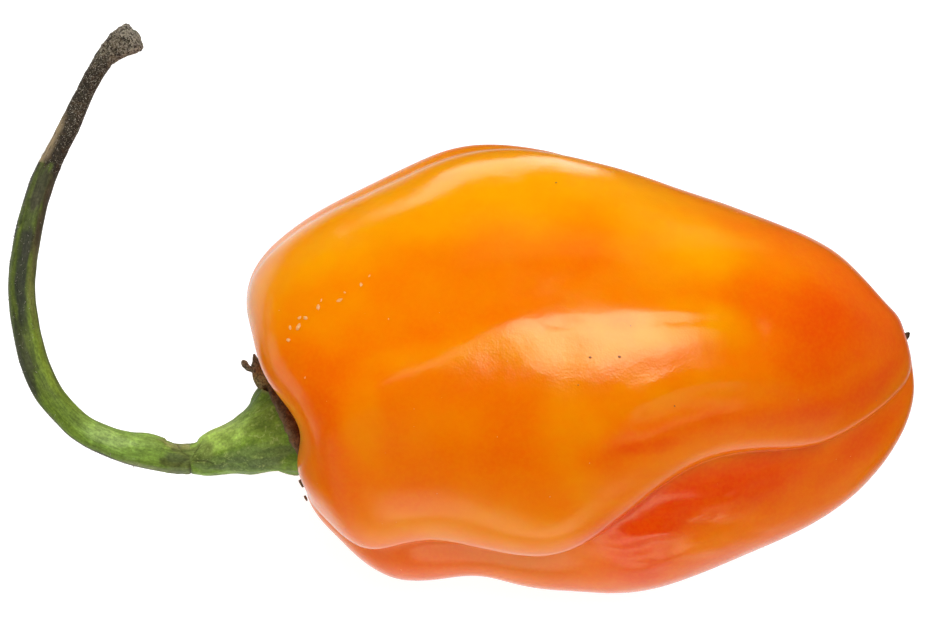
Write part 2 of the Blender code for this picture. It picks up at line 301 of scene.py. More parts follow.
# Patches of the stalk's colour, laid one over the other: mm from the neck, degrees from its top
# to the inside of the bend, half length in mm, half angle, colour, strength. The lighter ones on
# the top and the inside of the bend near the calyx are painted light, the palest a painted
# highlight
STALK_PAINT = (
    (5.5, 30, 6.8, 56, FRESH, 0.85),
    # the next three: painted light on the top and inside of the bend, the palest a painted
    # highlight
    (6.5, 34, 4.5, 20, (0.30, 0.43, 0.095), 0.60),
    (7.3, 18, 2.4, 30, (0.330, 0.450, 0.130), 0.70),
    (11.0, 24, 2.4, 40, (0.220, 0.320, 0.060), 0.75),
    (13.5, 10, 3.8, 74, (0.130, 0.190, 0.020), 0.85),
    (0.7, 0, 0.95, 200, (0.115, 0.130, 0.036), 0.75),
    (0.8, 62, 1.9, 22, (0.26, 0.26, 0.085), 0.80),
    (2.6, 4, 1.6, 26, (0.150, 0.235, 0.032), 0.80),
    (1.6, -16, 1.0, 20, OLIVE, 0.85),
    (1.2, 4, 0.9, 17, (0.085, 0.110, 0.030), 0.85),
    (1.0, -52, 1.4, 22, (0.140, 0.175, 0.062), 0.70),
    (3.6, -66, 2.2, 22, (0.19, 0.20, 0.080), 0.70),
    (9.0, -90, 6.0, 24, (0.080, 0.078, 0.050), 0.90),
    (22.0, 0, 8.5, 200, (0.088, 0.108, 0.022), 0.85),
    (17.0, -42, 3.4, 38, (0.062, 0.066, 0.030), 0.90),
    (17.5, 46, 4.6, 28, (0.190, 0.265, 0.030), 0.85),
    (22.9, 0, 3.6, 24, (0.034, 0.037, 0.022), 0.92),
    (22.4, 50, 3.2, 20, (0.160, 0.180, 0.046), 0.85),
    (22.0, -60, 3.6, 18, (0.100, 0.130, 0.022), 0.85),
    (26.6, 4, 1.5, 34, (0.040, 0.040, 0.024), 0.92),
    (26.4, 62, 2.0, 28, (0.120, 0.118, 0.044), 0.85),
    (26.2, -58, 1.7, 20, (0.100, 0.130, 0.024), 0.85),
    (27.4, -84, 1.0, 26, (0.012, 0.011, 0.008), 1.00),
    (29.0, -16, 1.5, 40, (0.078, 0.096, 0.025), 0.85),
    (31.3, 0, 1.9, 200, (0.060, 0.054, 0.030), 0.92),
    (29.5, 66, 3.4, 30, (0.068, 0.056, 0.032), 0.90),
    (30.6, -36, 2.2, 16, (0.100, 0.120, 0.030), 0.90),
)
# How much lighter than painted the greens are, by red, green and blue
CALYX_LIGHTNESS = (1.08, 1.20, 1.16)
STALK_LIGHTNESS = (1.03, 1.06, 1.05)
STALK_INSIDE = 0.5          # mm of the stalk that the calyx hides
STALK_DRY_FROM = 32.8       # mm from the neck where the green ends
STALK_TAN = (35.0, -68, 2.9, 52)    # a bare tan patch: mm from the neck, angle, and half of each
STALK_KNOB = (42.3, 44.3)   # mm from the neck between which the knob begins
STALK_FACE = (0.80, 0.62)   # mm before the end between which its cut face begins
# The same for the calyx: mm from the neck, degrees from its far side over its top;
# its first patch, on the lit upper far side, is painted light
CALYX_PAINT = (
    # painted light: the lit-side green on the upper far side
    (3.4, 46, 3.4, 42, LIT_SIDE_GREEN, 0.85),
    (1.0, 75, 1.2, 34, (0.130, 0.150, 0.036), 0.80),
    (6.4, 16, 2.2, 36, (0.100, 0.160, 0.018), 0.65),
    (7.0, 66, 1.5, 30, (0.150, 0.205, 0.028), 0.75),
    (4.6, 120, 3.9, 26, (0.135, 0.175, 0.048), 0.80),
    (5.9, 126, 1.0, 8, (0.095, 0.110, 0.055), 0.40),
    (4.1, 116, 1.1, 7, (0.095, 0.108, 0.052), 0.40),
    (2.2, 126, 0.8, 8, (0.095, 0.108, 0.052), 0.40),
    (3.8, 168, 5.0, 22, (0.24, 0.32, 0.085), 0.75),
    (7.6, 158, 1.1, 24, (0.150, 0.240, 0.024), 0.80),
    (7.4, 142, 0.5, 8, (0.30, 0.34, 0.070), 0.60),
    (7.7, 134, 0.9, 18, (0.130, 0.210, 0.018), 0.80),
)


# ---------------------------------------------------------------- settings


def whole(name, text, default, low=0):
    """A whole number setting."""
    return IntProperty(name=name, description=text, default=default, min=low)


def number(name, text, default, **limits):
    """A number setting."""
    return FloatProperty(name=name, description=text, default=default, **limits)


def length(name, text, default):
    """A setting for a length in metres."""
    return number(name, text, default, unit="LENGTH", subtype="DISTANCE")


def colour_choice(name, text, default):
    """A setting for a colour."""
    return FloatVectorProperty(name=name, description=text, default=default, size=3, min=0.0,
                               max=1.0, subtype="COLOR")


class PodSettings(bpy.types.PropertyGroup):
    """Size and finish of the pod's skin."""

    rings: whole("Rings", "Rings of faces from calyx to blossom end", 236, 24)
    segments: whole("Segments", "Faces round the pod", 320, 24)
    waviness: length("Waviness", "Height of the skin's soft unevenness", 0.00010)
    fold_wrinkles: length(
        "Fold Wrinkles", "Height of the crumples inside the near fold", 0.00034)
    roughness: number(
        "Gloss Roughness", "Roughness of the waxy skin", 0.13, min=0.0, max=1.0,
        subtype="FACTOR")
    ripe: colour_choice("Ripe Colour", "The skin's main orange", (0.93, 0.190, 0.0))
    # the red also paints the shade in the folds: painted shade
    red: colour_choice(
        "Red Colour", "The skin where it is ripest and in its folds", (0.84, 0.058, 0.0015))
    pale: colour_choice("Pale Colour", "The skin where it is least ripe", (0.98, 0.370, 0.0))
    specks: number("Specks", "Tiny pale specks on each square centimetre of skin", 2.2, min=0.0)
    seed: whole("Seed", "Seed of the skin's specks", 7)


class StalkSettings(bpy.types.PropertyGroup):
    """Size and finish of stalk and calyx."""

    sides: whole("Sides", "Faces round the stalk", 72, 8)
    rings: whole("Rings", "Rings of faces along the stalk", 520, 32)
    ridges: whole("Ridges", "Low ridges that run along the stalk", 5)
    ridge_depth: number(
        "Ridge Depth", "Height of those ridges as a share of the radius", 0.022, min=0.0,
        max=0.2, subtype="FACTOR")
    fuzz: whole("Fuzz", "Pale flakes on the dried end", 4200)
    hairs: whole("Hairs", "Short hairs on the green stretch", 520)
    seed: whole("Seed", "Seed of flakes and hairs", 11)
    freshness: number(
        "Freshness", "Brightness of the green of stalk and calyx", 1.0, min=0.0, max=2.0,
        subtype="FACTOR")
    dry: colour_choice("Dry", "The dried stretch's grey brown", (0.070, 0.058, 0.040))


class StageSettings(bpy.types.PropertyGroup):
    """Floor, light and camera."""

    distance: length("Camera Distance", "From the camera to the pod's axis", 0.32)
    elevation: number(
        "Camera Elevation", "Angle above the surface", radians(70), unit="ROTATION",
        subtype="ANGLE")
    width: length("View Width", "Width seen at the pod's axis", 0.07725)
    room: length("Room", "Distance to the walls", 3.0)
    overhead: number("Overhead Light", "Brightness of the softbox overhead", 9.3)
    panel: number("Rear Panel", "Brightness of the panel behind", 2.6)
    strip: number("Front Strip", "Brightness of the weak light in front", 0.7)
    key: number("Soft Key", "Brightness of the light behind, without a reflection", 5.9)
    fill: number("Front Fill", "Brightness of the light in front, without a reflection", 3.8)
    floor_glow: number("Floor Glow", "Light that comes up through the floor", 0.90)


# ---------------------------------------------------------------- curves and surfaces


def spline(values, at, level):
    """Read a smooth curve through evenly spaced values; its ends run level or free."""
    y = np.asarray(values, float)
    last = len(y) - 1
    rows = np.zeros((last + 1, last + 1))
    right = np.zeros(last + 1)
    for i in range(1, last):
        rows[i, i - 1:i + 2] = 1, 4, 1
        right[i] = 6 * (y[i - 1] - 2 * y[i] + y[i + 1])
    rows[0, 0] = rows[last, last] = 1
    if level:
        rows[0, :2] = 2, 1
        rows[last, last - 1:] = 1, 2
        right[0] = 6 * (y[1] - y[0])
        right[last] = -6 * (y[last] - y[last - 1])
    bend = np.linalg.solve(rows, right)
    x = np.clip(at, 0, 1) * last
    i = np.minimum(x.astype(int), last - 1)
    f = x - i
    g = 1 - f
    return g * y[i] + f * y[i + 1] + ((g**3 - g) * bend[i] + (f**3 - f) * bend[i + 1]) / 6


def turn_between(angle, middle):
    """Signed degrees from middle to angle, the short way round."""
    return (angle - middle + 180) % 360 - 180


def step(x, low, high):
    """Nought below low, one above high, smooth between."""
    f = np.clip((x - low) / (high - low), 0, 1)
    return f * f * (3 - 2 * f)


def bell(away, width):
    """One where away is nought, falling smoothly to nothing beyond the width on both sides."""
    return np.exp(-(away / width)**2)


def round_bell(angle, middle, width):
    """The same round a middle angle, in degrees."""
    return bell(turn_between(angle, middle), width)


def oval(along, angle, middle, around, length, spread):
    """Nought at the middle of an oval patch and one on its outline."""
    return ((along - middle) / length)**2 + (turn_between(angle, around) / spread)**2


def patch(along, angle, *place):
    """One at the middle of an oval patch, falling smoothly to nothing."""
    return np.exp(-oval(along, angle, *place))


def fold_shape(turn, before, after, steep):
    """One at the fold's line, falling to nothing on both sides."""
    width = np.where(turn < 0, before, after)
    power = np.where(turn < 0, steep[0], steep[1])
    reach = np.sqrt((turn / width)**2 + FOLD_ROUNDING**2) - FOLD_ROUNDING
    return np.exp(-reach**power)


def oval_radius(cosine, sine, far, top, near, under):
    """Radius of a section that joins its four half widths smoothly."""
    across = (1 + cosine) / 2 / far**2 + (1 - cosine) / 2 / near**2
    upright = (1 + sine) / 2 / top**2 + (1 - sine) / 2 / under**2
    return 1 / np.sqrt(cosine**2 * across + sine**2 * upright)


def fold_depth(name, t, angle):
    """How deep a fold is at each point of the skin, as a share of the radius."""
    fold = FOLDS[name]
    turn = turn_between(angle, spline(fold["angle"], t, True))
    sides = [spline(fold[side], t, True) for side in ("before", "after")]
    return spline(fold["depth"], t, False) * fold_shape(turn, *sides, fold["steep"])


def pod_place(t):
    """Millimetres along the pod at share t of its stations."""
    return spline([row[0] for row in POD_STATIONS], t, True)


def pod_point(t, angle):
    """The pod's skin at share t of its length and an angle in degrees, in millimetres."""
    columns = np.array(POD_STATIONS).T
    along, lean = (spline(column, t, True) for column in columns[:2])
    widths = [np.maximum(spline(column, t, False), 1e-9) for column in columns[2:]]
    cosine, sine = np.cos(np.radians(angle)), np.sin(np.radians(angle))
    radius = oval_radius(cosine, sine, *widths)
    for *place, height in SWELLINGS:
        swell = height * patch(along, angle, *place)
        radius = radius + swell * np.minimum(1, radius / SWELLING_FADE)
    for name in FOLDS:
        radius = radius * (1 - fold_depth(name, t, angle))
    for *place, depth in HOLLOWS:
        along = along + depth * patch(t, angle, *place)
    return np.stack([along + lean * cosine, radius * cosine + POD_OFFSET, radius * sine], -1)


def frame_offset():
    """Where the pod's own frame stands, found from the box of the frame's pod."""
    low, high = (np.array(corner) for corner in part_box("pod"))
    t, angle = np.meshgrid(np.linspace(0, 1, 200), np.linspace(0, 360, 240))
    skin = pod_point(t, angle).reshape(-1, 3) @ LYING.T * MM
    middle = (low + high) / 2 - (skin.min(axis=0) + skin.max(axis=0)) / 2
    middle[2] = high[2] - skin[:, 2].max()
    return middle


OFFSET = frame_offset()


def to_world(points):
    """From millimetres in the pod's own frame to metres in the world."""
    return np.asarray(points) @ LYING.T * MM + OFFSET


def to_pod(points):
    """From metres in the world to millimetres in the pod's own frame."""
    return (np.asarray(points) - OFFSET) @ LYING / MM


def noise_at(points, size, seed=0.0):
    """Smooth noise from -1 to 1 at points in millimetres, with bumps of about that size."""
    shift = Vector((seed, seed * 1.7, -seed))
    return np.array([noise.noise(Vector(p) / size + shift) for p in points])


def unit(vectors):
    """Vectors made one long."""
    return vectors / np.linalg.norm(vectors, axis=-1, keepdims=True)


def square_to(ways, axis):
    """The part of an axis that stands square to each way, made one long."""
    return unit(axis - (ways @ axis)[..., None] * ways)


def tube_points(angle, radius, along):
    """Points on a straight tube, for noise that joins up all the way round."""
    turns = np.radians(angle)
    return np.stack([radius * np.cos(turns), radius * np.sin(turns), along], -1)


def tube_noise(angle, radius, along=0.0, seed=0.0):
    """Noise that joins up all the way round; the larger the tube, the finer it is."""
    return noise_at(tube_points(angle, radius, 0 * angle + along), 1.0, seed)


def path_of(rows, count):
    """Even steps along the smooth curve through rows of (along, far, top, radius).

    Gives centres, radii, directions and the length so far, in millimetres.
    """
    rows = np.array(rows)
    fine = np.linspace(0, 1, 3000)
    points = np.stack([spline(column, fine, False) for column in rows.T], -1)
    steps = np.linalg.norm(np.diff(points[:, :3], axis=0), axis=1)
    length = np.concatenate([[0], np.cumsum(steps)])
    at = np.linspace(0, length[-1], count)
    even = np.stack([np.interp(at, length, column) for column in points.T], -1)
    centres, radii = even[:, :3], even[:, 3]
    return centres, radii, unit(np.gradient(centres, axis=0)), at


def store(mesh, **attributes):
    """Store values, vectors (grain) and colours (tint) at each point of a mesh."""
    for name, values in attributes.items():
        kind, field = {"tint": ("FLOAT_COLOR", "color"), "grain": ("FLOAT_VECTOR", "vector")}.get(
            name, ("FLOAT", "value"))
        if name == "tint":
            values = np.column_stack([values, np.ones(len(values))])
        layer = mesh.attributes.new(name, kind, "POINT")
        layer.data.foreach_set(field, np.ascontiguousarray(values, dtype=np.float32).ravel())


def stored(mesh, name):
    """Read a value stored at each point of a mesh."""
    values = np.empty(len(mesh.vertices), np.float32)
    mesh.attributes[name].data.foreach_get("value", values)
    return values.astype(float)


def read_points(rows, field):
    """Points or normals as an array."""
    values = np.empty(len(rows) * 3, np.float32)
    rows.foreach_get(field, values)
    return values.reshape(-1, 3).astype(float)


def mesh_points(mesh):
    """A mesh's points as an array."""
    return read_points(mesh.vertices, "co")


def mesh_normals(mesh):
    """A mesh's point normals as an array."""
    return read_points(mesh.vertex_normals, "vector")


def set_points(mesh, points):
    """Move a mesh's points."""
    mesh.vertices.foreach_set("co", np.asarray(points, dtype=np.float32).ravel())
    mesh.update()


def raise_points(mesh, height):
    """Move a mesh's points outwards by heights in millimetres."""
    set_points(mesh, mesh_points(mesh) + mesh_normals(mesh) * (height * MM)[:, None])


def grid_faces(rings, sides, closed=False):
    """Faces between rings of points, the last joined to the first if closed."""
    faces = []
    for i in range(rings if closed else rings - 1):
        n = (i + 1) % rings
        for j in range(sides):
            k = (j + 1) % sides
            faces.append((i * sides + j, i * sides + k, n * sides + k, n * sides + j))
    return faces


def turn_out(mesh, weld=0.0):
    """Turn a mesh's faces outwards and shade it smoothly; weld points nearer than that."""
    form = bmesh.new()
    form.from_mesh(mesh)
    if weld:
        bmesh.ops.remove_doubles(form, verts=form.verts, dist=weld)
    bmesh.ops.recalc_face_normals(form, faces=form.faces)
    form.to_mesh(mesh)
    form.free()
    mesh.shade_smooth()


def mesh_of(name, points, faces):
    """A smooth mesh from points in world metres and faces."""
    mesh = bpy.data.meshes.new(name)
    mesh.from_pydata([tuple(p) for p in points], [], faces)
    turn_out(mesh)
    return mesh


def loft(name, rings, start, end):
    """A closed smooth mesh from rings of points, in world metres, and a point at each end."""
    count, sides = rings.shape[:2]
    faces = grid_faces(count, sides)
    first, last = count * sides, count * sides + 1
    for j in range(sides):
        k = (j + 1) % sides
        faces.append((first, k, j))
        faces.append((last, (count - 1) * sides + j, (count - 1) * sides + k))
    return mesh_of(name, [*rings.reshape(-1, 3), start, end], faces)


def link_object(name, data):
    """Put an object with this data in the scene."""
    item = bpy.data.objects.new(name, data)
    bpy.context.scene.collection.objects.link(item)
    return item


def add_piece(name, mesh, finish, node=None):
    """Put a finished mesh in the scene, on the pepper's body, in place of a frame node."""
    mesh.materials.clear()
    mesh.materials.append(finish)
    piece = link_object(name, mesh)
    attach(piece, BODY)
    if node:
        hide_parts(node)


# ---------------------------------------------------------------- node trees


class Net:
    """A short way to write a node tree."""

    def __init__(self, tree):
        self.tree = tree

    def add(self, kind, inputs=None, **settings):
        """Add a node, with values or other nodes' sockets for its inputs."""
        node = self.tree.nodes.new(kind)
        for name, value in settings.items():
            setattr(node, name, value)
        for key, value in (inputs or {}).items():
            self.feed(node.inputs[key], value)
        return node

    def feed(self, socket, value):
        """Link a socket, or set its value."""
        if isinstance(value, bpy.types.NodeSocket):
            self.tree.links.new(value, socket)
        else:
            socket.default_value = value

    def maths(self, operation, *values):
        """A Math node's result."""
        kind = "ShaderNodeMath"
        return self.add(kind, dict(enumerate(values)), operation=operation).outputs[0]

    def times(self, first, *others):
        """Values multiplied together."""
        for other in others:
            first = self.maths("MULTIPLY", first, other)
        return first

    def ramp(self, value, low, high, start=0.0, stop=1.0):
        """A smooth step from start to stop as the value goes from low to high, or down to it."""
        inputs = {"Value": value, "From Min": low, "From Max": high, "To Min": start,
                  "To Max": stop}
        kind = "ShaderNodeMapRange"
        return self.add(kind, inputs, interpolation_type="SMOOTHSTEP").outputs[0]

    def band(self, value, low, high, falling=None, end=None):
        """A smooth step up from low to high and, where given, down again from falling to end."""
        rising = self.ramp(value, low, high)
        return rising if end is None else self.times(rising, self.ramp(value, end, falling))

    def vector(self, operation, first, second):
        """A Vector Math node's result."""
        node = self.add("ShaderNodeVectorMath", {0: first, 1: second}, operation=operation)
        return node.outputs[0]


class Finish(Net):
    """A material's node tree, round its Principled shader."""

    def __init__(self, name, **constants):
        self.material = bpy.data.materials.new(name)
        self.material.use_nodes = True
        super().__init__(self.material.node_tree)
        self.shader = self.tree.nodes["Principled BSDF"]
        for key, value in constants.items():
            self.shader.inputs[key.replace("_", " ")].default_value = value
        self.place = self.millimetres()

    def millimetres(self):
        """Object coordinates in millimetres."""
        here = self.add("ShaderNodeTexCoord").outputs["Object"]
        return self.vector("MULTIPLY", here, (1 / MM,) * 3)

    def attribute(self, name, field="Fac"):
        """A value stored on the mesh."""
        return self.add("ShaderNodeAttribute", attribute_name=name).outputs[field]

    def noise(self, scale, detail=2.0, roughness=0.5, distortion=0.0, vector=None):
        """Noise from 0 to 1, scale bumps to the millimetre."""
        inputs = {"Vector": vector or self.place, "Scale": scale, "Detail": detail,
                  "Roughness": roughness, "Distortion": distortion}
        return self.add("ShaderNodeTexNoise", inputs).outputs["Fac"]

    def cells(self, scale):
        """Distance to the nearest of scattered points."""
        inputs = {"Vector": self.place, "Scale": scale}
        return self.add("ShaderNodeTexVoronoi", inputs, feature="F1").outputs["Distance"]

    def ramp_straight(self, value, low, high):
        """Nought to one, in a straight line, as the value goes from low to high."""
        return self.add("ShaderNodeMapRange", {0: value, 1: low, 2: high}).outputs[0]

    def mix(self, factor, first, second, blend="MIX"):
        """Two colours mixed."""
        first, second = ((*c, 1.0) if isinstance(c, tuple) and len(c) == 3 else c
                         for c in (first, second))
        node = self.add("ShaderNodeMix", {0: factor, 6: first, 7: second}, data_type="RGBA",
                        blend_type=blend)
        return node.outputs[2]

    def over(self, colour, *layers):
        """Layers of colour laid one over the other, each by its share."""
        for share, layer in layers:
            colour = self.mix(share, colour, layer)
        return colour

    def bump(self, height, distance, strength=1.0, normal=None):
        """A normal from a height, its full height given in metres."""
        inputs = {"Height": height, "Distance": distance, "Strength": strength}
        if normal:
            inputs["Normal"] = normal
        return self.add("ShaderNodeBump", inputs).outputs[0]

    def finish(self, colour, roughness, normal=None):
        """Link the results to the shader."""
        self.feed(self.shader.inputs["Base Color"], colour)
        self.feed(self.shader.inputs["Roughness"], roughness)
        if normal:
            self.feed(self.shader.inputs["Normal"], normal)
        return self.material


class Grower(Net):
    """A Geometry Nodes tree with named inputs, run once on an object."""

    def __init__(self, name):
        super().__init__(bpy.data.node_groups.new(name, "GeometryNodeTree"))
        self.values = {}
        face = self.tree.interface
        face.new_socket("Geometry", in_out="INPUT", socket_type="NodeSocketGeometry")
        face.new_socket("Geometry", in_out="OUTPUT", socket_type="NodeSocketGeometry")
        self.source = self.add("NodeGroupInput")
        self.result = self.add("NodeGroupOutput")

    def input(self, name, value):
        """Add a named input and give its socket inside the tree."""
        kinds = {int: "NodeSocketInt", float: "NodeSocketFloat"}
        kind = kinds.get(type(value), "NodeSocketMaterial")
        item = self.tree.interface.new_socket(name, in_out="INPUT", socket_type=kind)
        self.values[item.identifier] = value
        return self.source.outputs[name]

    def named(self, name):
        """A value stored on the geometry."""
        node = self.add("GeometryNodeInputNamedAttribute", {"Name": name}, data_type="FLOAT")
        return node.outputs[0]

    def store(self, geometry, name, value):
        """Store a value on the points of the geometry."""
        inputs = {"Geometry": geometry, "Name": name, "Value": value}
        kind = "GeometryNodeStoreNamedAttribute"
        return self.add(kind, inputs, data_type="FLOAT", domain="POINT").outputs[0]

    def end(self, geometry, finish):
        """Realize, set the material and close the tree."""
        real = self.add("GeometryNodeRealizeInstances", {0: geometry}).outputs[0]
        dressed = self.add("GeometryNodeSetMaterial", {"Geometry": real, "Material": finish})
        self.feed(self.result.inputs[0], dressed.outputs[0])

    def grow(self, base, name):
        """Run the tree on an object and give the plain mesh that it makes."""
        modifier = base.modifiers.new(name, "NODES")
        modifier.node_group = self.tree
        for identifier, value in self.values.items():
            modifier[identifier] = value
        bpy.context.view_layer.update()
        graph = bpy.context.evaluated_depsgraph_get()
        mesh = bpy.data.meshes.new_from_object(base.evaluated_get(graph))
        mesh.name = name
        base.modifiers.remove(modifier)
        bpy.data.objects.remove(base)
        return mesh


def scatter_tree(name, shape, finish, density, size, flat, seed, lift):
    """Small shapes strewn over a surface where its "strew" attribute says, by density."""
    tree = Grower(name)
    density = tree.input("Per Square Metre", float(density))
    small, large = tree.input("Smallest", size[0]), tree.input("Largest", size[1])
    random_seed = tree.input("Seed", int(seed))
    dress = tree.input("Material", finish)
    amount = tree.times(density, tree.named("strew"))
    points = tree.add("GeometryNodeDistributePointsOnFaces", {
        "Mesh": tree.source.outputs[0], "Density": amount, "Seed": random_seed})
    flatten = tree.add("GeometryNodeTransform", {"Geometry": shape(tree), "Scale": flat}).outputs[0]
    spread = tree.add("FunctionNodeRandomValue", {
        "Min": small, "Max": large, "Seed": random_seed}, data_type="FLOAT")
    spin = tree.add("FunctionNodeRandomValue", {
        "Min": (0.0, 0.0, 0.0), "Max": (lift, lift, 2 * pi), "Seed": random_seed},
        data_type="FLOAT_VECTOR")
    turned = tree.add("FunctionNodeRotateRotation", {
        "Rotation": points.outputs["Rotation"], "Rotate By": spin.outputs[0]},
        rotation_space="LOCAL")
    copies = tree.add("GeometryNodeInstanceOnPoints", {
        "Points": points.outputs["Points"], "Instance": flatten,
        "Rotation": turned.outputs[0], "Scale": spread.outputs[1]})
    tree.end(copies.outputs[0], dress)
    return tree


def ball_shape(tree):
    """A ball of twenty faces, one across."""
    return tree.add("GeometryNodeMeshIcoSphere", {"Radius": 0.5, "Subdivisions": 1}).outputs[0]


def hair_shape(tree):
    """A thin cone, one long, standing on its foot."""
    cone = tree.add("GeometryNodeMeshCone", {
        "Vertices": 4, "Radius Top": 0.01, "Radius Bottom": 0.06, "Depth": 1.0})
    return cone.outputs["Mesh"]


# ---------------------------------------------------------------- the pod


def pod_material(look):
    """Waxy skin, orange turning red towards the blossom end, with red painted shade in the folds.
    """
    skin = Finish(
        "pepper_skin", Subsurface_Weight=0.35, Subsurface_Scale=0.0022, IOR=1.45,
        Subsurface_Radius=(1.0, 0.32, 0.08),
        Specular_Tint=(1.0, 0.95, 0.6, 1.0))
    ripe, red, pale = (tuple(c) for c in (look.ripe, look.red, look.pale))
    clouds = skin.noise(0.45, 4.0, 0.6)
    tone = skin.maths("ADD", skin.attribute("tone"), skin.times(
        0.30, skin.maths("SUBTRACT", clouds, 0.5)))
    cells = skin.cells(5.5)
    grain = skin.noise(3.0, 3.0)
    colour = skin.over(
        # paler skin along the main highlight is painted highlight; red round the near fold is
        # painted shade
        ripe, (skin.ramp_straight(tone, 0.0, 1.0), pale),
        (skin.ramp_straight(tone, 0.0, -1.0), red),
        (skin.ramp(grain, 0.30, 0.75, 0.0, 0.10), pale))
    bump = skin.bump(cells, 0.000012, 0.35)
    bump = skin.bump(skin.noise(0.9, 2.0), 0.00005, 0.35, bump)
    rough = skin.ramp(skin.noise(0.6, 2.0), 0.3, 0.7, look.roughness - 0.03,
                      look.roughness + 0.05)
    return skin.finish(colour, rough, bump)


def skin_tone(skin, t, angle):
    """The skin's tone at each point, from -1 (red) to 1 (yellow orange)."""
    along = pod_place(t) + TONE_DRIFT[0] * noise_at(skin, 4.0, 12.0)
    round_it = angle + TONE_DRIFT[1] * noise_at(skin, 4.0, 15.0)
    tone = 0.10 * noise_at(skin, 3.0, 18.0) + 0.05 * noise_at(skin, 1.2, 21.0)
    for *place, amount in TONES:
        tone += amount * np.exp(-0.7 * oval(along, round_it, *place)**2)
    # painted shade: the redder line above the near fold
    width, amount, line = FOLD_SHADE_LINE
    tone += amount * bell(line_distance(skin, skin_line(line)), width)
    return np.clip(tone, -1, 1)


def line_distance(points, line):
    """Distance from points to a line of straight runs, all in millimetres."""
    nearest = np.full(len(points), np.inf)
    for start, end in zip(line, line[1:]):
        run = end - start
        share = np.clip((points - start) @ run / (run @ run), 0, 1)
        nearest = np.minimum(nearest, np.linalg.norm(points - start - share[:, None] * run, axis=1))
    return nearest


def ridge_height(skin):
    """Height of the skin's low ridges and creases, in millimetres."""
    height = np.zeros(len(skin))
    for width, rise, line in RIDGES:
        height += rise * bell(line_distance(skin, skin_line(line)), width)
    return height


def skin_line(line):
    """Points of the skin for a line of (mm along, angle)."""
    return np.array([pod_point(np.array(share_at(place)), angle) for place, angle in line])


def share_at(place):
    """The share of the pod's stations that lies at a place in millimetres along it."""
    fine = np.linspace(0.12, 1, 800)        # past the shoulder, from where places only rise
    return float(np.interp(place, pod_place(fine), fine))


def fold_crumples(skin, t, angle):
    """Small uneven creases inside the near fold, in millimetres of height."""
    inside = patch(pod_place(t), angle, *CRUMPLED)
    chosen = inside > 0.02
    height = np.zeros(len(t))
    drawn = skin[chosen] * (0.55, 1.0, 1.0)
    height[chosen] = inside[chosen] * (
        noise_at(drawn, 2.3, 3.0) + 0.5 * noise_at(drawn, 1.0, 9.0))
    return height


def rest_softly(points):
    """Let the skin give way where it meets the surface, without going under it."""
    points[:, 2] = (points[:, 2] + np.sqrt(points[:, 2]**2 + SOFTNESS**2)) / 2
    return points


def make_skin_mesh(look):
    """The pod's skin, ring by ring from calyx to blossom end, then made uneven."""
    shares = np.arange(1, look.rings) / look.rings
    turns = np.arange(look.segments) * 360 / look.segments
    t = np.append(np.repeat(shares, look.segments), [0, 1])
    angle = np.append(np.tile(turns, len(shares)), [0, 0])
    skin = pod_point(t, angle)
    rings = to_world(skin[:-2]).reshape(len(shares), look.segments, 3)
    mesh = loft("pod_skin", rings, *to_world(skin[-2:]))
    outward = mesh_normals(mesh)
    waves = noise_at(skin, 6.5, 1.0) + 0.35 * noise_at(skin, 2.6, 5.0)
    height = look.waviness * waves + look.fold_wrinkles * fold_crumples(skin, t, angle)
    height += ridge_height(skin) * MM
    set_points(mesh, rest_softly(to_world(skin) + outward * height[:, None]))
    store(mesh, tone=skin_tone(skin, t, angle), angle=angle)
    return mesh


def skin_spot(t, angle):
    """A point of the skin and the way it faces, in world metres."""
    near = np.array([(t, angle), (t + 0.004, angle), (t, angle + 1.0)])
    here, on, round_it = to_world(pod_point(near[:, 0], near[:, 1]))
    out = np.cross(on - here, round_it - here)
    middle = to_world([(float(pod_place(np.array([t]))[0]), POD_OFFSET, 0.0)])[0]
    out = out / np.linalg.norm(out)
    return here, out if out @ (here - middle) > 0 else -out


def spot_object(name, spots, finish, height, seed):
    """Low uneven blisters on the skin, one for each (share along, angle, size in mm)."""
    form = bmesh.new()
    for number, (t, angle, size) in enumerate(spots):
        here, out = skin_spot(t, angle)
        turn = Vector(out).to_track_quat("Z", "Y").to_matrix().to_4x4()
        spin = Matrix.Rotation(seed + 2.4 * number, 4, "Z")
        shape = Matrix.Diagonal((size * MM, size * MM * 0.62, size * MM * height, 1))
        made = bmesh.ops.create_icosphere(form, subdivisions=3, radius=0.5)["verts"]
        for vertex in made:
            bumpy = 1 + 0.35 * noise.noise(vertex.co * 3.1 + Vector((number, seed, 0)))
            vertex.co = vertex.co * bumpy
        bmesh.ops.transform(form, matrix=Matrix.Translation(here) @ turn @ spin @ shape, verts=made)
    mesh = bpy.data.meshes.new(name)
    form.to_mesh(mesh)
    form.free()
    mesh.shade_smooth()
    add_piece(name, mesh, finish)


class PEPPER_OT_pod(bpy.types.Operator):
    """Build the pod's skin"""

    bl_idname = "pepper.pod"
    bl_label = "Pod Skin"

    def execute(self, context):
        look = context.scene.pepper_pod
        add_piece("pod_skin", make_skin_mesh(look), pod_material(look), "pod")
        return {"FINISHED"}


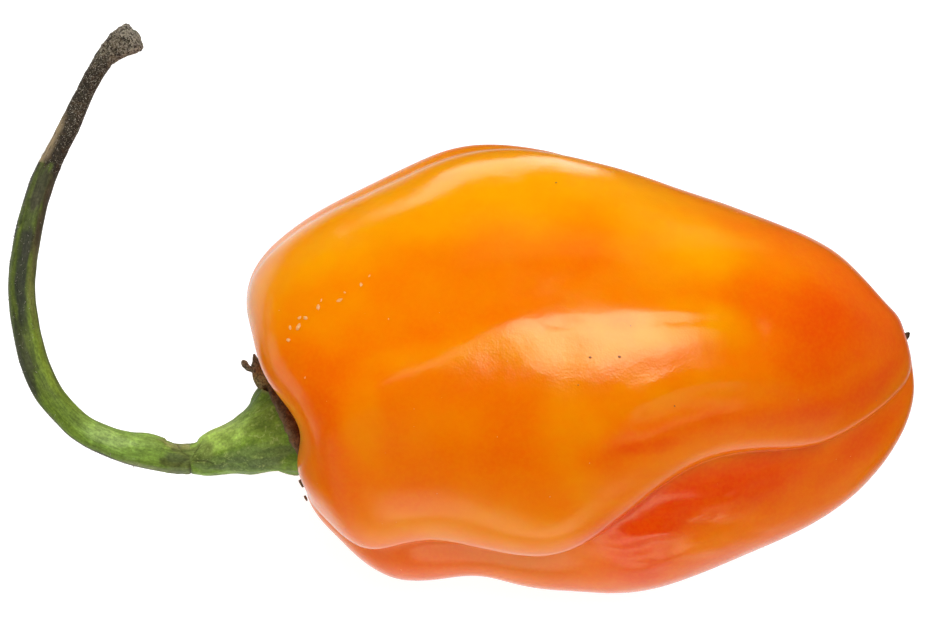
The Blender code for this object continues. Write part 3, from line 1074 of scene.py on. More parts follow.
class PEPPER_OT_marks(bpy.types.Operator):
    """Strew the skin's scars, specks and dark spots"""

    bl_idname = "pepper.marks"
    bl_label = "Skin Marks"

    def execute(self, context):
        look = context.scene.pepper_pod
        # pale scars: the scars' own colour, made paler in part as a painted glint
        scar = Finish("skin_scars", IOR=1.45, Subsurface_Weight=0.2, Subsurface_Scale=0.001)
        tint = scar.ramp(scar.noise(6.0), 0.3, 0.7)
        pale_scar_and_glint = scar.finish(scar.mix(tint, (0.97, 0.33, 0.07), (1.0, 0.52, 0.24)), 0.3)
        dark = Finish("skin_dark_spots", IOR=1.4)
        tint = dark.noise(9.0)
        brown = dark.finish(dark.mix(tint, (0.20, 0.045, 0.006), (0.42, 0.10, 0.01)), 0.5)
        spot_object("skin_scars", SCARS, pale_scar_and_glint, 0.24, 1.0)
        spot_object("skin_dark_spots", DARK_SPOTS, brown, 0.12, 4.0)

        mesh = bpy.data.objects["pod_skin"].data.copy()
        along, turn = to_pod(mesh_points(mesh))[:, 0], stored(mesh, "angle")
        where = 0.25 + sum(more * patch(along, turn, *spot) for more, *spot in SPECKLED)
        store(mesh, strew=where * (along > 0.5) * (along < 50))
        base = link_object("speck_ground", mesh)
        tree = scatter_tree(
            "Skin Specks", ball_shape, pale_scar_and_glint, look.specks * 1e4, (0.00005, 0.00016),
            (1.0, 0.6, 0.5), look.seed, 0.2)
        add_piece("skin_specks", tree.grow(base, "skin_specks"), pale_scar_and_glint)
        return {"FINISHED"}


# ---------------------------------------------------------------- calyx and stalk


def crease_depth(along, angle, around_mm, lines):
    """One on the crease lines and nought away from them; around_mm is a degree's width in mm."""
    signed = turn_between(angle, 90) + 90
    here = np.stack([along, signed * around_mm], -1)
    nearest = np.min([line_distance(here, np.array(line) * (1, around_mm)) for line in lines],
                     axis=0)
    # the crease and its shallow shoulder, which the callers sink and darken as painted shade
    sharp, shoulder = (bell(nearest, width) for width in CREASE_WIDTHS)
    return np.maximum(sharp, 0.4 * shoulder)


def painted(along, angle, base, patches):
    """Colours at each point: a base, and over it patches with ragged edges."""
    drawn = tube_points(angle, 2.4, along * 0.55)
    ragged = 0.7 * noise_at(drawn, 1.0, 31.0) + 0.6 * noise_at(drawn * (2.5, 2.5, 1.6), 1.0, 37.0)
    colours = np.tile(np.array(base, float), (len(along), 1))
    for *place, tint, strength in patches:
        cover = strength * step(1.55 - oval(along, angle, *place) + 0.8 * ragged, 0, 1)
        colours += cover[:, None] * (np.array(tint) - colours)
    return colours


def green_finish(name, look, grain_scale, streak=7.0):
    """Plant green in painted patches, mottled, with fine streaks and painted shade in creases."""
    green = Finish(name, Subsurface_Weight=0.15, Subsurface_Scale=0.0008, IOR=1.42,
                   Subsurface_Radius=(0.6, 1.0, 0.2), Specular_IOR_Level=0.28)
    grain = green.vector("MULTIPLY", green.attribute("grain", "Vector"), grain_scale)
    streaks = green.noise(streak, 4.0, 0.65, vector=grain)
    blots = green.noise(0.75, 4.0, 0.6, 0.6)
    fine = green.noise(4.5, 3.0, 0.6)
    colour = green.mix(1.0, green.attribute("tint", "Color"), (look.freshness,) * 3, "MULTIPLY")
    for value, low, high, dark, light in (
            (blots, 0.30, 0.70, 0.80, 1.16), (streaks, 0.32, 0.68, 0.76, 1.24),
            (fine, 0.32, 0.68, 0.82, 1.16)):
        level = green.ramp(value, low, high, dark, light)
        colour = green.mix(1.0, colour, level, "MULTIPLY")
    # painted shade: the creases and their shoulders darkened
    crease_and_shade = green.times(green.attribute("crease_and_shade"), green.ramp(fine, 0.25, 0.6, 0.4, 1.0))
    colour = green.mix(crease_and_shade, colour, (0.035, 0.030, 0.012))
    return green, colour, streaks, blots


def calyx_radius(radii, share, angle):
    """The calyx's radius at each point, with its ribs, its hollow side and its two teeth."""
    ribs, first_rib, rib_height = CALYX_RIBS
    radius = radii * (1 + rib_height * share * np.cos(np.radians(ribs * angle + first_rib)))
    radius = radius - CALYX_HOLLOW_DEPTH * patch(share, angle, *CALYX_HOLLOW)
    near_tooth = 0.06 * step(share, 0.80, 1.02) - 0.56 * bell(share - 0.80, 0.13)
    far_tooth = 0.18 * step(share, 0.7, 1.0)
    return radius + (round_bell(angle, 186, 30) * near_tooth
                     + round_bell(angle, 8, 26) * far_tooth)


def calyx_reach(share, angle):
    """How far the ragged rim and its teeth reach on, in millimetres."""
    ragged = sum(depth * tube_noise(angle, fine, place) for depth, fine, place in CALYX_RAGS)
    further = sum(rise * round_bell(angle, middle, spread)
                  for middle, spread, rise in CALYX_TEETH)
    return (ragged + further) * step(share, 0.55, 1.0)


def make_calyx_mesh(rings=130, sides=144):
    """The horn-shaped calyx: outside from neck to rim, then back inside to close it."""
    centres, radii, ways, length = path_of(CALYX_PATH, rings)
    sideways = square_to(ways, FAR)
    upwards = np.cross(ways, sideways)
    share = (length / length[-1])[:, None]
    angle = np.arange(sides) * 360 / sides
    round_it = tube_points(angle, 1.0, 0 * angle)
    radius = calyx_radius(radii[:, None], share, angle)
    radius = radius * (0.96 + 0.04 * step(length, -0.05, 0.10)[:, None])
    reach = calyx_reach(share, angle)

    def ring_points(i, scale=1.0, sink=0.0):
        arms = round_it[:, :1] * sideways[i] + round_it[:, 1:2] * upwards[i]
        return centres[i] + (radius[i] * scale)[:, None] * arms + (
            reach[i] + sink)[:, None] * ways[i]

    grid = np.array([ring_points(i) for i in range(rings)]
                    + [ring_points(-1, scale, sink) for scale, sink in CALYX_LIP])
    end = centres[-1] + CALYX_LIP[-1][1] * ways[-1]
    mesh = loft("calyx_cup", to_world(grid), to_world(centres[0]), to_world(end))

    lengths = np.append(length, np.full(len(CALYX_LIP), length[-1]))
    along = np.append(np.repeat(lengths, sides), [0, lengths[-1]])
    around = np.append(np.tile(angle, len(lengths)), [0, 0])
    return mesh, along, along / length[-1], around


class PEPPER_OT_calyx(bpy.types.Operator):
    """Build the calyx"""

    bl_idname = "pepper.calyx"
    bl_label = "Calyx"

    def execute(self, context):
        look = context.scene.pepper_stalk
        mesh, along, share, angle = make_calyx_mesh()
        points = to_pod(mesh_points(mesh))
        crease_and_shade = crease_depth(along, angle, 0.026, CALYX_CREASES)
        veins = tube_noise(angle, 2.6, along * 0.35, 2.0)
        lumps = noise_at(points, 1.3, 6.0) * 0.5 + noise_at(points, 0.5, 8.0) * 0.35
        raise_points(mesh, 0.06 * veins * step(share, 0.05, 0.3) + 0.06 * lumps - 0.13 * crease_and_shade)
        # crease_and_shade darkens the creases: painted shade
        store(mesh, tint=painted(along, angle, LEAF, CALYX_PAINT) * CALYX_LIGHTNESS,
              crease_and_shade=0.75 * crease_and_shade, rim=step(share, 0.955, 1.0),
              grain=tube_points(angle, 1.0, along))
        green, colour, streaks, blots = green_finish("calyx_green", look, (1.0, 1.0, 0.22), 4.0)
        grain = green.vector("MULTIPLY", green.attribute("grain", "Vector"), (2.6, 2.6, 0.8))
        veined = green.ramp(green.noise(3.0, 5.0, 0.7, 1.0, grain), 0.54, 0.66)
        colour = green.over(
            colour, (green.times(veined, 0.55), (0.40, 0.48, 0.13)),
            (green.attribute("rim"), (0.24, 0.27, 0.09)))
        bump = green.bump(blots, 0.00010, 0.5)
        bump = green.bump(green.noise(7.0, 3.0), 0.00004, 0.6, bump)
        finish = green.finish(colour, green.ramp(blots, 0.3, 0.7, 0.48, 0.66), bump)
        add_piece("calyx_cup", mesh, finish, "calyx")
        return {"FINISHED"}


def stalk_tree(look, finish):
    """Sweep a ridged round section along the stalk's line."""
    tree = Grower("Stalk Sweep")
    sides = tree.input("Sides", look.sides)
    ridges = tree.input("Ridges", float(look.ridges))
    depth = tree.input("Ridge Depth", float(look.ridge_depth))
    dress = tree.input("Material", finish)
    radius = tree.named("radius")
    share = tree.add("GeometryNodeSplineParameter")
    line = tree.store(tree.source.outputs[0], "along", share.outputs["Length"])
    line = tree.store(line, "girth", radius)
    ring = tree.add("GeometryNodeCurvePrimitiveCircle", {"Resolution": sides, "Radius": 1.0})
    ring = tree.store(ring.outputs[0], "around", share.outputs["Factor"])
    tube = tree.add("GeometryNodeCurveToMesh", {
        "Curve": line, "Profile Curve": ring, "Fill Caps": True})
    if "Scale" in tube.inputs:
        tree.feed(tube.inputs["Scale"], radius)
    wave = tree.maths("COSINE", tree.times(tree.named("around"), ridges, 2 * pi))
    height = tree.times(wave, depth, tree.named("girth"))
    normal = tree.add("GeometryNodeInputNormal").outputs[0]
    push = tree.add("ShaderNodeVectorMath", {0: normal, "Scale": height}, operation="SCALE")
    moved = tree.add("GeometryNodeSetPosition", {
        "Geometry": tube.outputs[0], "Offset": push.outputs[0]}).outputs[0]
    smooth = tree.add("GeometryNodeSetShadeSmooth", {"Geometry": moved}).outputs[0]
    tree.end(smooth, dress)
    return tree


def stalk_line(look):
    """The stalk's line as a curve object whose points hold its radius."""
    centres, radii, ways, length = path_of(STALK_PATH, look.rings)
    curve = bpy.data.curves.new("stalk_line", "CURVE")
    curve.dimensions = "3D"
    line = curve.splines.new("POLY")
    line.points.add(len(centres) - 1)
    for point, centre, radius in zip(line.points, to_world(centres), radii):
        point.co = (*centre, 1.0)
        point.radius = radius * MM
    return link_object("stalk_line", curve), (centres, ways, length)


def stalk_angles(points, along, path):
    """Degrees round the stalk at points in pod millimetres: 0 on top, 90 inside the bend."""
    centres, ways, length = path
    middle, way = (np.stack([np.interp(along, length, column) for column in rows.T], -1)
                   for rows in (centres, ways))
    way = unit(way)
    top = square_to(way, TOP)
    inner = np.cross(way, top)
    arm = points - middle
    return np.degrees(np.arctan2((arm * inner).sum(1), (arm * top).sum(1)))


def stalk_marks(along, angle):
    """How dry and how tan the stalk is."""
    level = 0 * along
    edge = noise_at(np.stack([along * 0.5, angle / 40, level], -1), 1.0, 4.0)
    edge += 0.5 * noise_at(np.stack([along, angle / 14, level], -1), 1.0, 9.0)
    start = STALK_DRY_FROM - step(-angle, 100, 170) + 1.1 * edge
    dry = step(along, start - 0.5, start + 0.6)
    tan = patch(along, angle + 9 * edge, *STALK_TAN)
    tan = np.where(along < STALK_DRY_FROM + 0.4, 0, np.clip(2.2 * tan - 0.5, 0, 1))
    return dry, tan


class PEPPER_OT_stalk(bpy.types.Operator):
    """Sweep the stalk and dry out its end"""

    bl_idname = "pepper.stalk"
    bl_label = "Stalk"

    def execute(self, context):
        look = context.scene.pepper_stalk
        finish = self.finish(look)
        base, path = stalk_line(look)
        mesh = stalk_tree(look, finish).grow(base, "stalk")
        turn_out(mesh, weld=1e-7)
        points = to_pod(mesh_points(mesh))
        along = stored(mesh, "along") / MM
        angle = stalk_angles(points, along, path)
        along = along - STALK_INSIDE
        dry, tan = stalk_marks(along, angle)
        around = 90 - angle     # the neck counts its degrees from the far side, as the pod does
        crease_and_shade = crease_depth(along, around, 0.022, STALK_CREASES)
        ring = 0.8 * bell(along, 0.10) * step(around % 360, 85, 115)
        knob = step(along, *STALK_KNOB)
        raise_points(mesh, self.relief(points, along, angle, dry, knob, crease_and_shade + ring))
        # the creases and the ring at the neck are darkened: painted shade
        store(mesh, tint=painted(along, angle, LEAF, STALK_PAINT) * STALK_LIGHTNESS,
              crease_and_shade=np.clip(0.75 * crease_and_shade + ring, 0, 1), dry=dry, tan=tan, knob=knob,
              face=step(along, *(along.max() - away for away in STALK_FACE)),
              grain=tube_points(angle, 1.0, along))
        fuzz = np.clip(dry * (1 - 0.85 * tan) * (0.25 + step(along, 34, 38)), 0, 1)
        outer = round_bell(angle, -88, 40) * (along > 4)
        streak = patch(along, angle, 23.5, 2, 5.0, 34)
        hairy = np.clip(0.5 * dry * (1 - fuzz) + 0.7 * outer + streak, 0, 1) * (along < 36)
        self.strew(look, mesh, fuzz, hairy)
        add_piece("stalk", mesh, finish, "pedicel")
        return {"FINISHED"}

    def relief(self, points, along, angle, dry, knob, creases):
        """Height of the stalk's ribs, scurf and creases, in millimetres."""
        # a low lip just beyond the neck, inside the bend
        lip = 0.15 * step(along, 2.35, 2.62) * step(along, 7.0, 3.6) * round_bell(angle, 80, 62)
        lumps = noise_at(points, 0.55, 3.0) + 0.6 * noise_at(points, 0.26, 5.0)
        neck = 1 - step(along, 1.4, 2.8)
        lumpy = 0.030 * dry + 0.09 * knob + 0.05 * neck
        height = (0.035 * tube_noise(angle, 2.2, along * 0.35, 1.0)
                  + 0.030 * noise_at(points, 1.4, 7.0) + lumpy * lumps - 0.12 * creases + lip)
        return height * step(along, -0.45, -0.1)

    def strew(self, look, mesh, fuzz, hairy):
        """Pale flakes on the dried end, short hairs below it."""
        flake = Finish("stalk_flakes", IOR=1.4)
        tint = flake.ramp(flake.noise(5.0), 0.35, 0.65)
        pale = flake.finish(flake.mix(tint, (0.16, 0.13, 0.085), (0.50, 0.45, 0.36)), 0.8)
        jobs = (
            ("stalk_flakes", ball_shape, fuzz, look.fuzz, (0.00003, 0.00012), (1, 0.6, 0.45), 0.6),
            ("stalk_hairs", hair_shape, hairy, look.hairs, (0.00012, 0.00030), (1, 1, 1), 0.9),
        )
        for name, shape, where, count, size, flat, lift in jobs:
            ground = mesh.copy()
            store(ground, strew=where)
            area = sum(face.area for face in ground.polygons) * float(np.mean(where))
            density = count / max(area, 1e-9)
            tree = scatter_tree(name, shape, pale, density, size, flat, look.seed, lift)
            add_piece(name, tree.grow(link_object(name + "_ground", ground), name), pale)

    def finish(self, look):
        """Green in dull and fresh streaks, drying to a scurfy grey brown."""
        green, colour, streaks, _ = green_finish("stalk_skin", look, (1.0, 1.0, 0.16))
        dried = green.attribute("dry")
        scurf = green.noise(4.2, 4.0, 0.7)
        pale = green.ramp(green.noise(7.5, 2.0), 0.60, 0.72, 0.0, 0.8)
        rust = green.ramp(green.noise(1.6, 3.0), 0.52, 0.70, 0.0, 0.35)
        knob = green.times(green.attribute("knob"), green.ramp(scurf, 0.45, 0.60))
        face = green.times(green.attribute("face"), green.ramp(scurf, 0.44, 0.62))
        worn = green.times(green.attribute("tan"), green.ramp(streaks, 0.32, 0.50))
        brown = green.over(
            (0.030, 0.024, 0.018),
            (green.ramp(scurf, 0.40, 0.70), tuple(look.dry)),
            (pale, (0.20, 0.17, 0.12)),
            (rust, RUST),
            (knob, (0.26, 0.215, 0.15)),
            (face, (0.36, 0.32, 0.245)))
        colour = green.over(colour, (dried, brown), (worn, TAN))
        bump = green.bump(streaks, 0.00008, 0.5)
        fine = green.times(scurf, green.maths("ADD", dried, 0.25))
        bump = green.bump(fine, 0.00012, 0.8, bump)
        rough = green.ramp_straight(dried, -1.4, 1.2)
        return green.finish(colour, rough, bump)


# ---------------------------------------------------------------- dried flower and style


def dried_finish():
    """Brown papery tissue with pale torn edges."""
    dry = Finish("dried_flower", IOR=1.4, Subsurface_Weight=0.1, Subsurface_Scale=0.0004)
    blots = dry.noise(1.6, 4.0, 0.65)
    fine = dry.noise(6.0, 3.0, 0.6)
    brown = dry.mix(dry.ramp(blots, 0.35, 0.65), (0.085, 0.034, 0.012), (0.21, 0.092, 0.034))
    greyed = dry.mix(dry.ramp(fine, 0.40, 0.62), (0.065, 0.060, 0.042), (0.24, 0.20, 0.135))
    olive = dry.mix(dry.ramp(fine, 0.36, 0.58), (0.13, 0.095, 0.040), (0.36, 0.29, 0.13))
    colour = dry.over(
        brown,
        (dry.ramp(fine, 0.55, 0.72, 0.0, 0.7), (0.30, 0.20, 0.10)),
        (dry.ramp(fine, 0.46, 0.34, 0.0, 0.8), (0.040, 0.022, 0.010)),
        (dry.attribute("grey"), greyed),
        (dry.attribute("green"), olive),
        (dry.attribute("edge"), (0.26, 0.19, 0.10)))
    bump = dry.bump(blots, 0.00016, 0.7)
    bump = dry.bump(fine, 0.00005, 0.7, bump)
    return dry.finish(colour, dry.ramp(fine, 0.3, 0.7, 0.65, 0.95), bump)


# Where the ring lies, mm, and the way its opening faces
RIM_MIDDLE = np.array((-0.40, -0.36, -0.08))
RIM_WAY = unit(np.array((0.95, 0.25, -0.19)))


def ring_points(rings=220, sides=28):
    """A crumpled band that rings the calyx's foot, between rim and pod."""
    sideways = square_to(RIM_WAY, FAR)
    upwards = np.cross(RIM_WAY, sideways)
    around = np.arange(rings) * 360 / rings
    turn = np.arange(sides) * 2 * pi / sides
    ragged = tube_noise(around, 2.6)
    torn = tube_noise(around, 9.0, seed=5.0)
    showing = round_bell(around, 76, 46)
    wide = 0.55 + 0.42 * showing + 0.16 * ragged + 0.10 * torn
    thick = 0.40 + 0.30 * showing
    lift = 0.16 * ragged + 0.08 * torn + 0.06 * showing
    out = (3.55 + 0.25 * showing)[:, None] + np.outer(wide, np.cos(turn))
    deep = np.outer(thick, np.sin(turn)) + lift[:, None]
    arms = tube_points(around, 1.0, 0 * around) @ np.stack([sideways, upwards, 0 * upwards])
    return RIM_MIDDLE + out[..., None] * arms[:, None] + deep[..., None] * RIM_WAY


def leaf_mesh(name, rows, sides=26, rings=70, crumple=0.10, seed=0.0):
    """A closed curled strip: rows of (along, far, top, half width, half thickness) in mm."""
    rows = np.array(rows)
    centres, widths, ways, _ = path_of(rows[:, :4], rings)
    thick = spline(rows[:, 4], np.linspace(0, 1, rings), False)
    up = square_to(ways, TOP)
    side = np.cross(ways, up)
    turn = np.arange(sides) * 2 * pi / sides
    grid = centres[:, None] + np.outer(widths, np.cos(turn))[..., None] * side[:, None] + (
        np.outer(thick, np.sin(turn))[..., None] * up[:, None])
    mesh = loft(name, to_world(grid), to_world(centres[0]), to_world(centres[-1]))
    points = to_pod(mesh_points(mesh))
    rough = noise_at(points, 0.8, seed) + 0.5 * noise_at(points, 0.35, seed + 3)
    raise_points(mesh, crumple * rough)
    return mesh


# The curled flap, its small horn and the crumbs, mm: along, far, top, half width, half thickness
FLAP_STEM = (
    (-0.85, 2.75, 0.6, 0.45, 0.30),
    (-1.60, 3.7, 0.9, 0.56, 0.30),
    (-1.93, 4.5, 1.1, 0.52, 0.28),
    (-1.98, 5.3, 1.2, 0.40, 0.26),
    (-2.02, 5.95, 1.3, 0.22, 0.20),
    (-2.05, 6.28, 1.3, 0.09, 0.10),
)
FLAP_HORN = (
    (-2.15, 4.95, 1.2, 0.30, 0.26),
    (-2.45, 5.10, 1.3, 0.22, 0.20),
    (-2.68, 5.27, 1.35, 0.22, 0.20),
    (-2.89, 5.54, 1.4, 0.27, 0.22),
    (-2.98, 5.80, 1.4, 0.22, 0.20),
    (-2.97, 5.95, 1.4, 0.08, 0.10),
)
CRUMBS = (
    ((0.14, -4.62, 0.4, 0.12, 0.10), (0.26, -4.92, 0.4, 0.15, 0.12),
     (0.36, -5.27, 0.4, 0.08, 0.08)),
    ((0.36, -5.98, 0.4, 0.08, 0.07), (0.44, -6.20, 0.4, 0.11, 0.08),
     (0.52, -6.45, 0.4, 0.06, 0.05)),
)


def finish_dried(mesh, finish, node=None, edge=0.0, green=0.0, grey=0.0):
    """Store the torn edge and the greenish and grey shares, and add the piece."""
    level = np.zeros(len(mesh.vertices))
    store(mesh, edge=edge + level, green=green + level, grey=grey + level)
    add_piece(mesh.name, mesh, finish, node)


class PEPPER_OT_flower(bpy.types.Operator):
    """Build the dried flower's ring, flap and crumbs"""

    bl_idname = "pepper.flower"
    bl_label = "Dried Flower"

    def execute(self, context):
        finish = dried_finish()
        grid = ring_points()
        faces = grid_faces(*grid.shape[:2], closed=True)
        mesh = mesh_of("dried_ring", to_world(grid).reshape(-1, 3), faces)
        points = to_pod(mesh_points(mesh))
        raise_points(mesh, 0.15 * (noise_at(points, 0.9, 2.0) + 0.6 * noise_at(points, 0.4, 6.0)))
        away = (points - RIM_MIDDLE) @ RIM_WAY
        outer = np.linalg.norm(points - RIM_MIDDLE - away[:, None] * RIM_WAY, axis=1)
        fringe = noise_at(points, 0.7, 12.0)
        torn = 0.4 * step(-away + 0.25 * fringe, 0.34, 0.46) * step(outer, 3.4, 4.0)
        finish_dried(mesh, finish, "dried_corolla", edge=torn)
        flap = leaf_mesh("dried_flap", FLAP_STEM, seed=1.0)
        far = to_pod(mesh_points(flap))[:, 1]
        finish_dried(flap, finish, green=0.9 * bell(far - 3.9, 0.8),
                     grey=0.8 * step(far, 4.7, 5.6))
        finish_dried(leaf_mesh("dried_horn", FLAP_HORN, seed=4.0), finish, grey=0.75)
        for number, rows in enumerate(CRUMBS):
            crumb = leaf_mesh(f"dried_crumb_{number + 1}", rows, 16, 20, 0.05, 7.0 + number)
            finish_dried(crumb, finish, green=0.25)
        return {"FINISHED"}


# The same for the withered style
STYLE_PATH = (
    (51.20, -0.50, 0.2, 0.42, 0.34),
    (51.58, -0.25, 0.2, 0.36, 0.30),
    (51.95, -0.02, 0.2, 0.27, 0.22),
    (52.18, 0.16, 0.2, 0.08, 0.08),
)


class PEPPER_OT_style(bpy.types.Operator):
    """Build the withered style at the blossom end"""

    bl_idname = "pepper.style"
    bl_label = "Withered Style"

    def execute(self, context):
        mesh = leaf_mesh("style_tip", STYLE_PATH, 24, 40, 0.06, 2.0)
        dry = Finish("withered_style", IOR=1.4)
        blots = dry.noise(3.5, 4.0, 0.65)
        colour = dry.mix(dry.ramp(blots, 0.4, 0.65), (0.030, 0.016, 0.008), (0.12, 0.065, 0.03))
        bump = dry.bump(blots, 0.0001, 0.7)
        finish = dry.finish(colour, dry.ramp(blots, 0.3, 0.7, 0.7, 0.95), bump)
        add_piece("style_tip", mesh, finish, "style_remnant")
        return {"FINISHED"}


# ---------------------------------------------------------------- stage

BOX_SLANT = 0.108           # how far the softbox core's left edge leans, as a share of its width
# From the calyx's middle to the middle of the view: to the right and up it, metres
VIEW_MIDDLE = (0.0144583, 0.0097083)


class PEPPER_OT_stage(bpy.types.Operator):
    """Set up the floor, the lights and the camera"""

    bl_idname = "pepper.stage"
    bl_label = "Stage"

    def execute(self, context):
        look = context.scene.pepper_stage
        self.camera(context, look)
        self.floor(look)
        self.lights(look)
        self.surroundings(context, look)
        return {"FINISHED"}

    def camera(self, context, look):
        """A long lens from above the near side."""
        up = Vector((0, sin(look.elevation), cos(look.elevation)))
        back = Vector((0, -cos(look.elevation), sin(look.elevation)))
        right, rise = VIEW_MIDDLE
        target = Vector(OFFSET) + Vector((right, 0, 0)) + up * rise
        data = bpy.data.cameras.new("camera")
        data.sensor_width = 36
        data.lens = data.sensor_width * look.distance / look.width
        data.clip_start = 0.01
        camera = link_object("camera", data)
        camera.location = target + back * look.distance
        camera.rotation_euler = (pi / 2 - look.elevation, 0, 0)
        context.scene.camera = camera

    def floor(self, look):
        """A wide pale floor, lit a little from beneath as a light table is, and pale walls."""
        form = bmesh.new()
        bmesh.ops.create_circle(form, cap_ends=True, segments=64, radius=look.room)
        floor = self.stage_piece("floor", form, "floor_paper", 0.42, look.floor_glow)
        floor.visible_glossy = False
        form = bmesh.new()
        bmesh.ops.create_icosphere(form, subdivisions=5, radius=look.room)
        walls = self.stage_piece("walls", form, "wall_paint", 0.0, 1.0)
        for ray in ("diffuse", "glossy", "transmission", "volume_scatter", "shadow"):
            setattr(walls, "visible_" + ray, False)

    def stage_piece(self, name, form, paint, grey, glow):
        """Add a matt glowing piece of the stage."""
        mesh = bpy.data.meshes.new(name)
        form.to_mesh(mesh)
        form.free()
        paper = Finish(paint, Base_Color=(grey, grey, grey, 1), Roughness=1.0,
                       Specular_IOR_Level=0.0, Emission_Color=(1, 1, 1, 1),
                       Emission_Strength=glow)
        paper.material.cycles.emission_sampling = "NONE"
        mesh.materials.append(paper.material)
        piece = link_object(name, mesh)
        return piece

    def lights(self, look):
        """Two soft lights that show in the skin, overhead and in front, and two that don't."""
        # name, place, tilt, size, brightness, the core's two edges on the left and on the right as
        # shares of the width, how soft the long sides are, brightness of the halo round the core,
        # how much the near side rises towards the right
        plain = ((0.0, 0.1), (0.0, 0.1), 0.1, 0.0, 0.0)
        boxes = (
            ("overhead_light", (0.30, -0.055, 1.0), 0, (1.5, 0.56), look.overhead,
             (0.30, 0.40), (0.28, 0.60), 0.20, 0.15, 0.7),
            ("front_strip", (1.0, -1.32, 1.0), 50, (1.3, 0.42), look.strip,
             (0.0, 0.2), (0.0, 0.2), 0.4, 0.0, 0.0),
            ("soft_key", (0.05, 0.75, 0.80), -43, (0.8, 0.6), look.key, *plain),
            ("front_fill", (-0.45, -0.75, 0.55), 52, (0.6, 0.5), look.fill, *plain),
        )
        for name, place, tilt, size, radiance, *edges in boxes:
            data = bpy.data.lights.new(name, "AREA")
            data.shape = "RECTANGLE"
            data.size, data.size_y = size
            data.energy = radiance * pi * size[0] * size[1]
            data.use_nodes = True
            net = Net(data.node_tree)
            glow = data.node_tree.nodes["Emission"].inputs["Strength"]
            net.feed(glow, self.box_glow(net, *edges))
            light = link_object(name, data)
            light.location = place
            light.rotation_euler = (radians(tilt), 0, 0)
            light.visible_glossy = name not in ("soft_key", "front_fill")

    def box_glow(self, net, left, right, sides, halo, rise):
        """A box's brightness from place to place: a soft core with a faint halo and a tail."""
        spot = net.add("ShaderNodeNewGeometry").outputs["Parametric"]
        parts = net.add("ShaderNodeSeparateXYZ", {0: spot})
        x, y = parts.outputs["X"], parts.outputs["Y"]
        back_from = net.maths("SUBTRACT", 1.0, x)
        risen = net.times(net.maths("MAXIMUM", 0.0, net.maths("SUBTRACT", x, 0.42)), rise)
        long_sides = net.times(net.ramp(net.maths("SUBTRACT", y, risen), 0.0, sides),
                               net.ramp(y, 1.0, 1.0 - sides))
        slanted = net.maths("MULTIPLY_ADD", y, BOX_SLANT, x)
        core = net.times(net.ramp(slanted, *left), net.ramp(back_from, *right))
        tail = net.maths("SUBTRACT", y, net.maths("MULTIPLY_ADD", x, 1.7, 0.31))
        tail = net.maths("MULTIPLY_ADD", x, -0.7, net.maths("ABSOLUTE", tail))
        tail = net.maths("MAXIMUM", net.ramp(tail, 0.18, 0.02), net.ramp(x, 0.30, 0.42))
        rim = net.times(net.ramp(x, 0.0, 0.06), net.ramp(back_from, 0.17, 0.30), tail, halo)
        return net.times(long_sides, net.maths("MAXIMUM", core, rim))

    def surroundings(self, context, look):
        """A dark room round a bright table, a pale wall in front and a panel behind."""
        world = bpy.data.worlds.new("studio")
        world.use_nodes = True
        net = Net(world.node_tree)
        way = net.add("ShaderNodeTexCoord").outputs["Generated"]
        parts = net.add("ShaderNodeSeparateXYZ", {0: way})
        x, y, z = (parts.outputs[axis] for axis in "XYZ")
        # the table reaches higher in front, and behind on the left
        reach = net.times(y, y, net.ramp(y, 0.1, -0.1), 0.55)
        left = net.times(net.ramp(y, 0.1, 0.4), net.maths("MAXIMUM", 0.0, net.times(x, -0.82)))
        reach = net.maths("SUBTRACT", net.maths("ADD", reach, left), z)
        # sides and height on the wall one metre behind; its panel hangs lower towards the right
        deep = net.maths("MAXIMUM", y, 0.05)
        side, height = (net.maths("DIVIDE", part, deep) for part in (x, z))
        sunk = net.maths("MULTIPLY_ADD", net.maths("MAXIMUM", side, 0.0), 2.2, height)
        sill = net.maths("MULTIPLY_ADD", net.ramp(side, -0.28, -0.46), 0.25, -0.40)
        above = net.maths("SUBTRACT", sunk, sill)
        # each glow: its brightness, then what bounds it; see band for the four numbers
        glows = (
            (0.90, (reach, 0.70, 1.0), (z, 0.15, -0.05)),
            (look.panel, (side, -0.52, -0.44, 0.18, 0.24), (above, 0.0, 0.12), (sunk, 0.15, 0.06)),
            (2.1, (y, -0.74, -0.97), (z, -0.38, -0.20, -0.13, 0.18), (x, -0.45, -0.12, 0.26, 0.50)),
            (0.24, (y, -0.40, -0.62), (z, 0.55, 0.0)),
            (0.30, (side, 0.30, 0.37, 0.44, 0.56), (height, -0.15, 0.05, 0.5, 0.8)),
            (0.9, (y, -0.30, -0.15, 0.18, 0.32), (z, -0.60, -0.42, -0.12, 0.04), (x, -0.76, -0.86)),
        )
        strength = 0.02
        for bright, *bounds in glows:
            glow = net.times(*(net.band(*bound) for bound in bounds))
            strength = net.maths("MULTIPLY_ADD", glow, bright, strength)
        back = world.node_tree.nodes["Background"]
        net.feed(back.inputs["Strength"], strength)
        back.inputs["Color"].default_value = (1, 1, 1, 1)
        context.scene.world = world
        context.scene.view_settings.view_transform = "Standard"


class PEPPER_PT_panel(bpy.types.Panel):
    """Lists the pepper's builders"""

    bl_idname = "PEPPER_PT_panel"
    bl_label = "Chilli Pepper"
    bl_space_type = "VIEW_3D"
    bl_region_type = "UI"
    bl_category = "Pepper"

    def draw(self, context):
        for group in (context.scene.pepper_pod, context.scene.pepper_stalk,
                      context.scene.pepper_stage):
            box = self.layout.box()
            for name in group.__annotations__:
                box.prop(group, name)
        for builder in OPERATORS:
            self.layout.operator(builder.bl_idname)


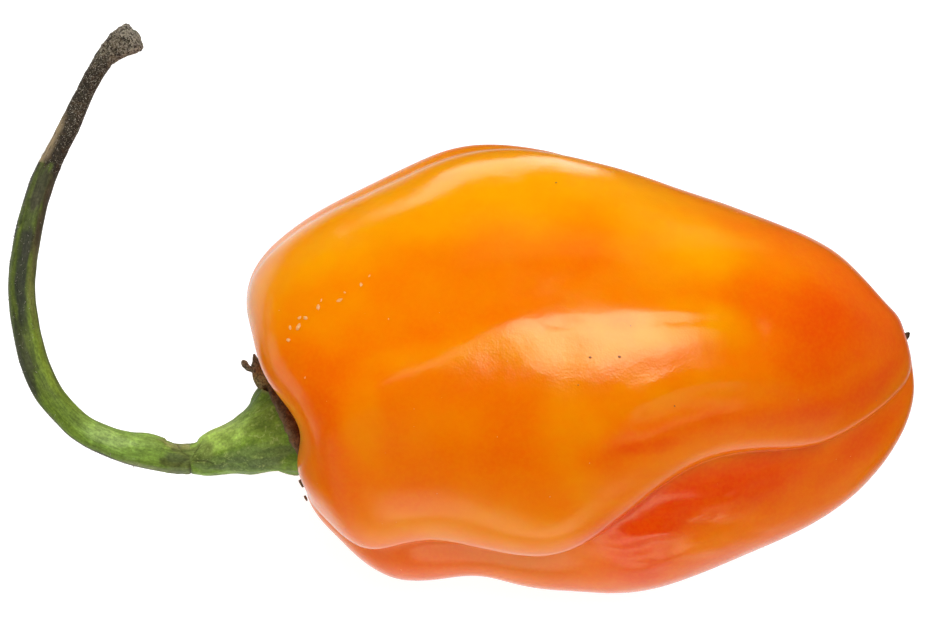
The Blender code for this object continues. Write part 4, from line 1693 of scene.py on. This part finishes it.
OPERATORS = (PEPPER_OT_stage, PEPPER_OT_pod, PEPPER_OT_marks, PEPPER_OT_calyx,
             PEPPER_OT_stalk, PEPPER_OT_flower, PEPPER_OT_style)
CLASSES = (PodSettings, StalkSettings, StageSettings, *OPERATORS, PEPPER_PT_panel)


def register():
    for cls in CLASSES:
        bpy.utils.register_class(cls)
    bpy.types.Scene.pepper_pod = PointerProperty(type=PodSettings)
    bpy.types.Scene.pepper_stalk = PointerProperty(type=StalkSettings)
    bpy.types.Scene.pepper_stage = PointerProperty(type=StageSettings)


def unregister():
    for name in ("pepper_pod", "pepper_stalk", "pepper_stage"):
        delattr(bpy.types.Scene, name)
    for cls in reversed(CLASSES):
        bpy.utils.unregister_class(cls)


def main():
    """Build everything in order."""
    register()
    for builder in OPERATORS:
        group, name = builder.bl_idname.split(".")
        getattr(getattr(bpy.ops, group), name)()


if __name__ == "__main__":
    main()
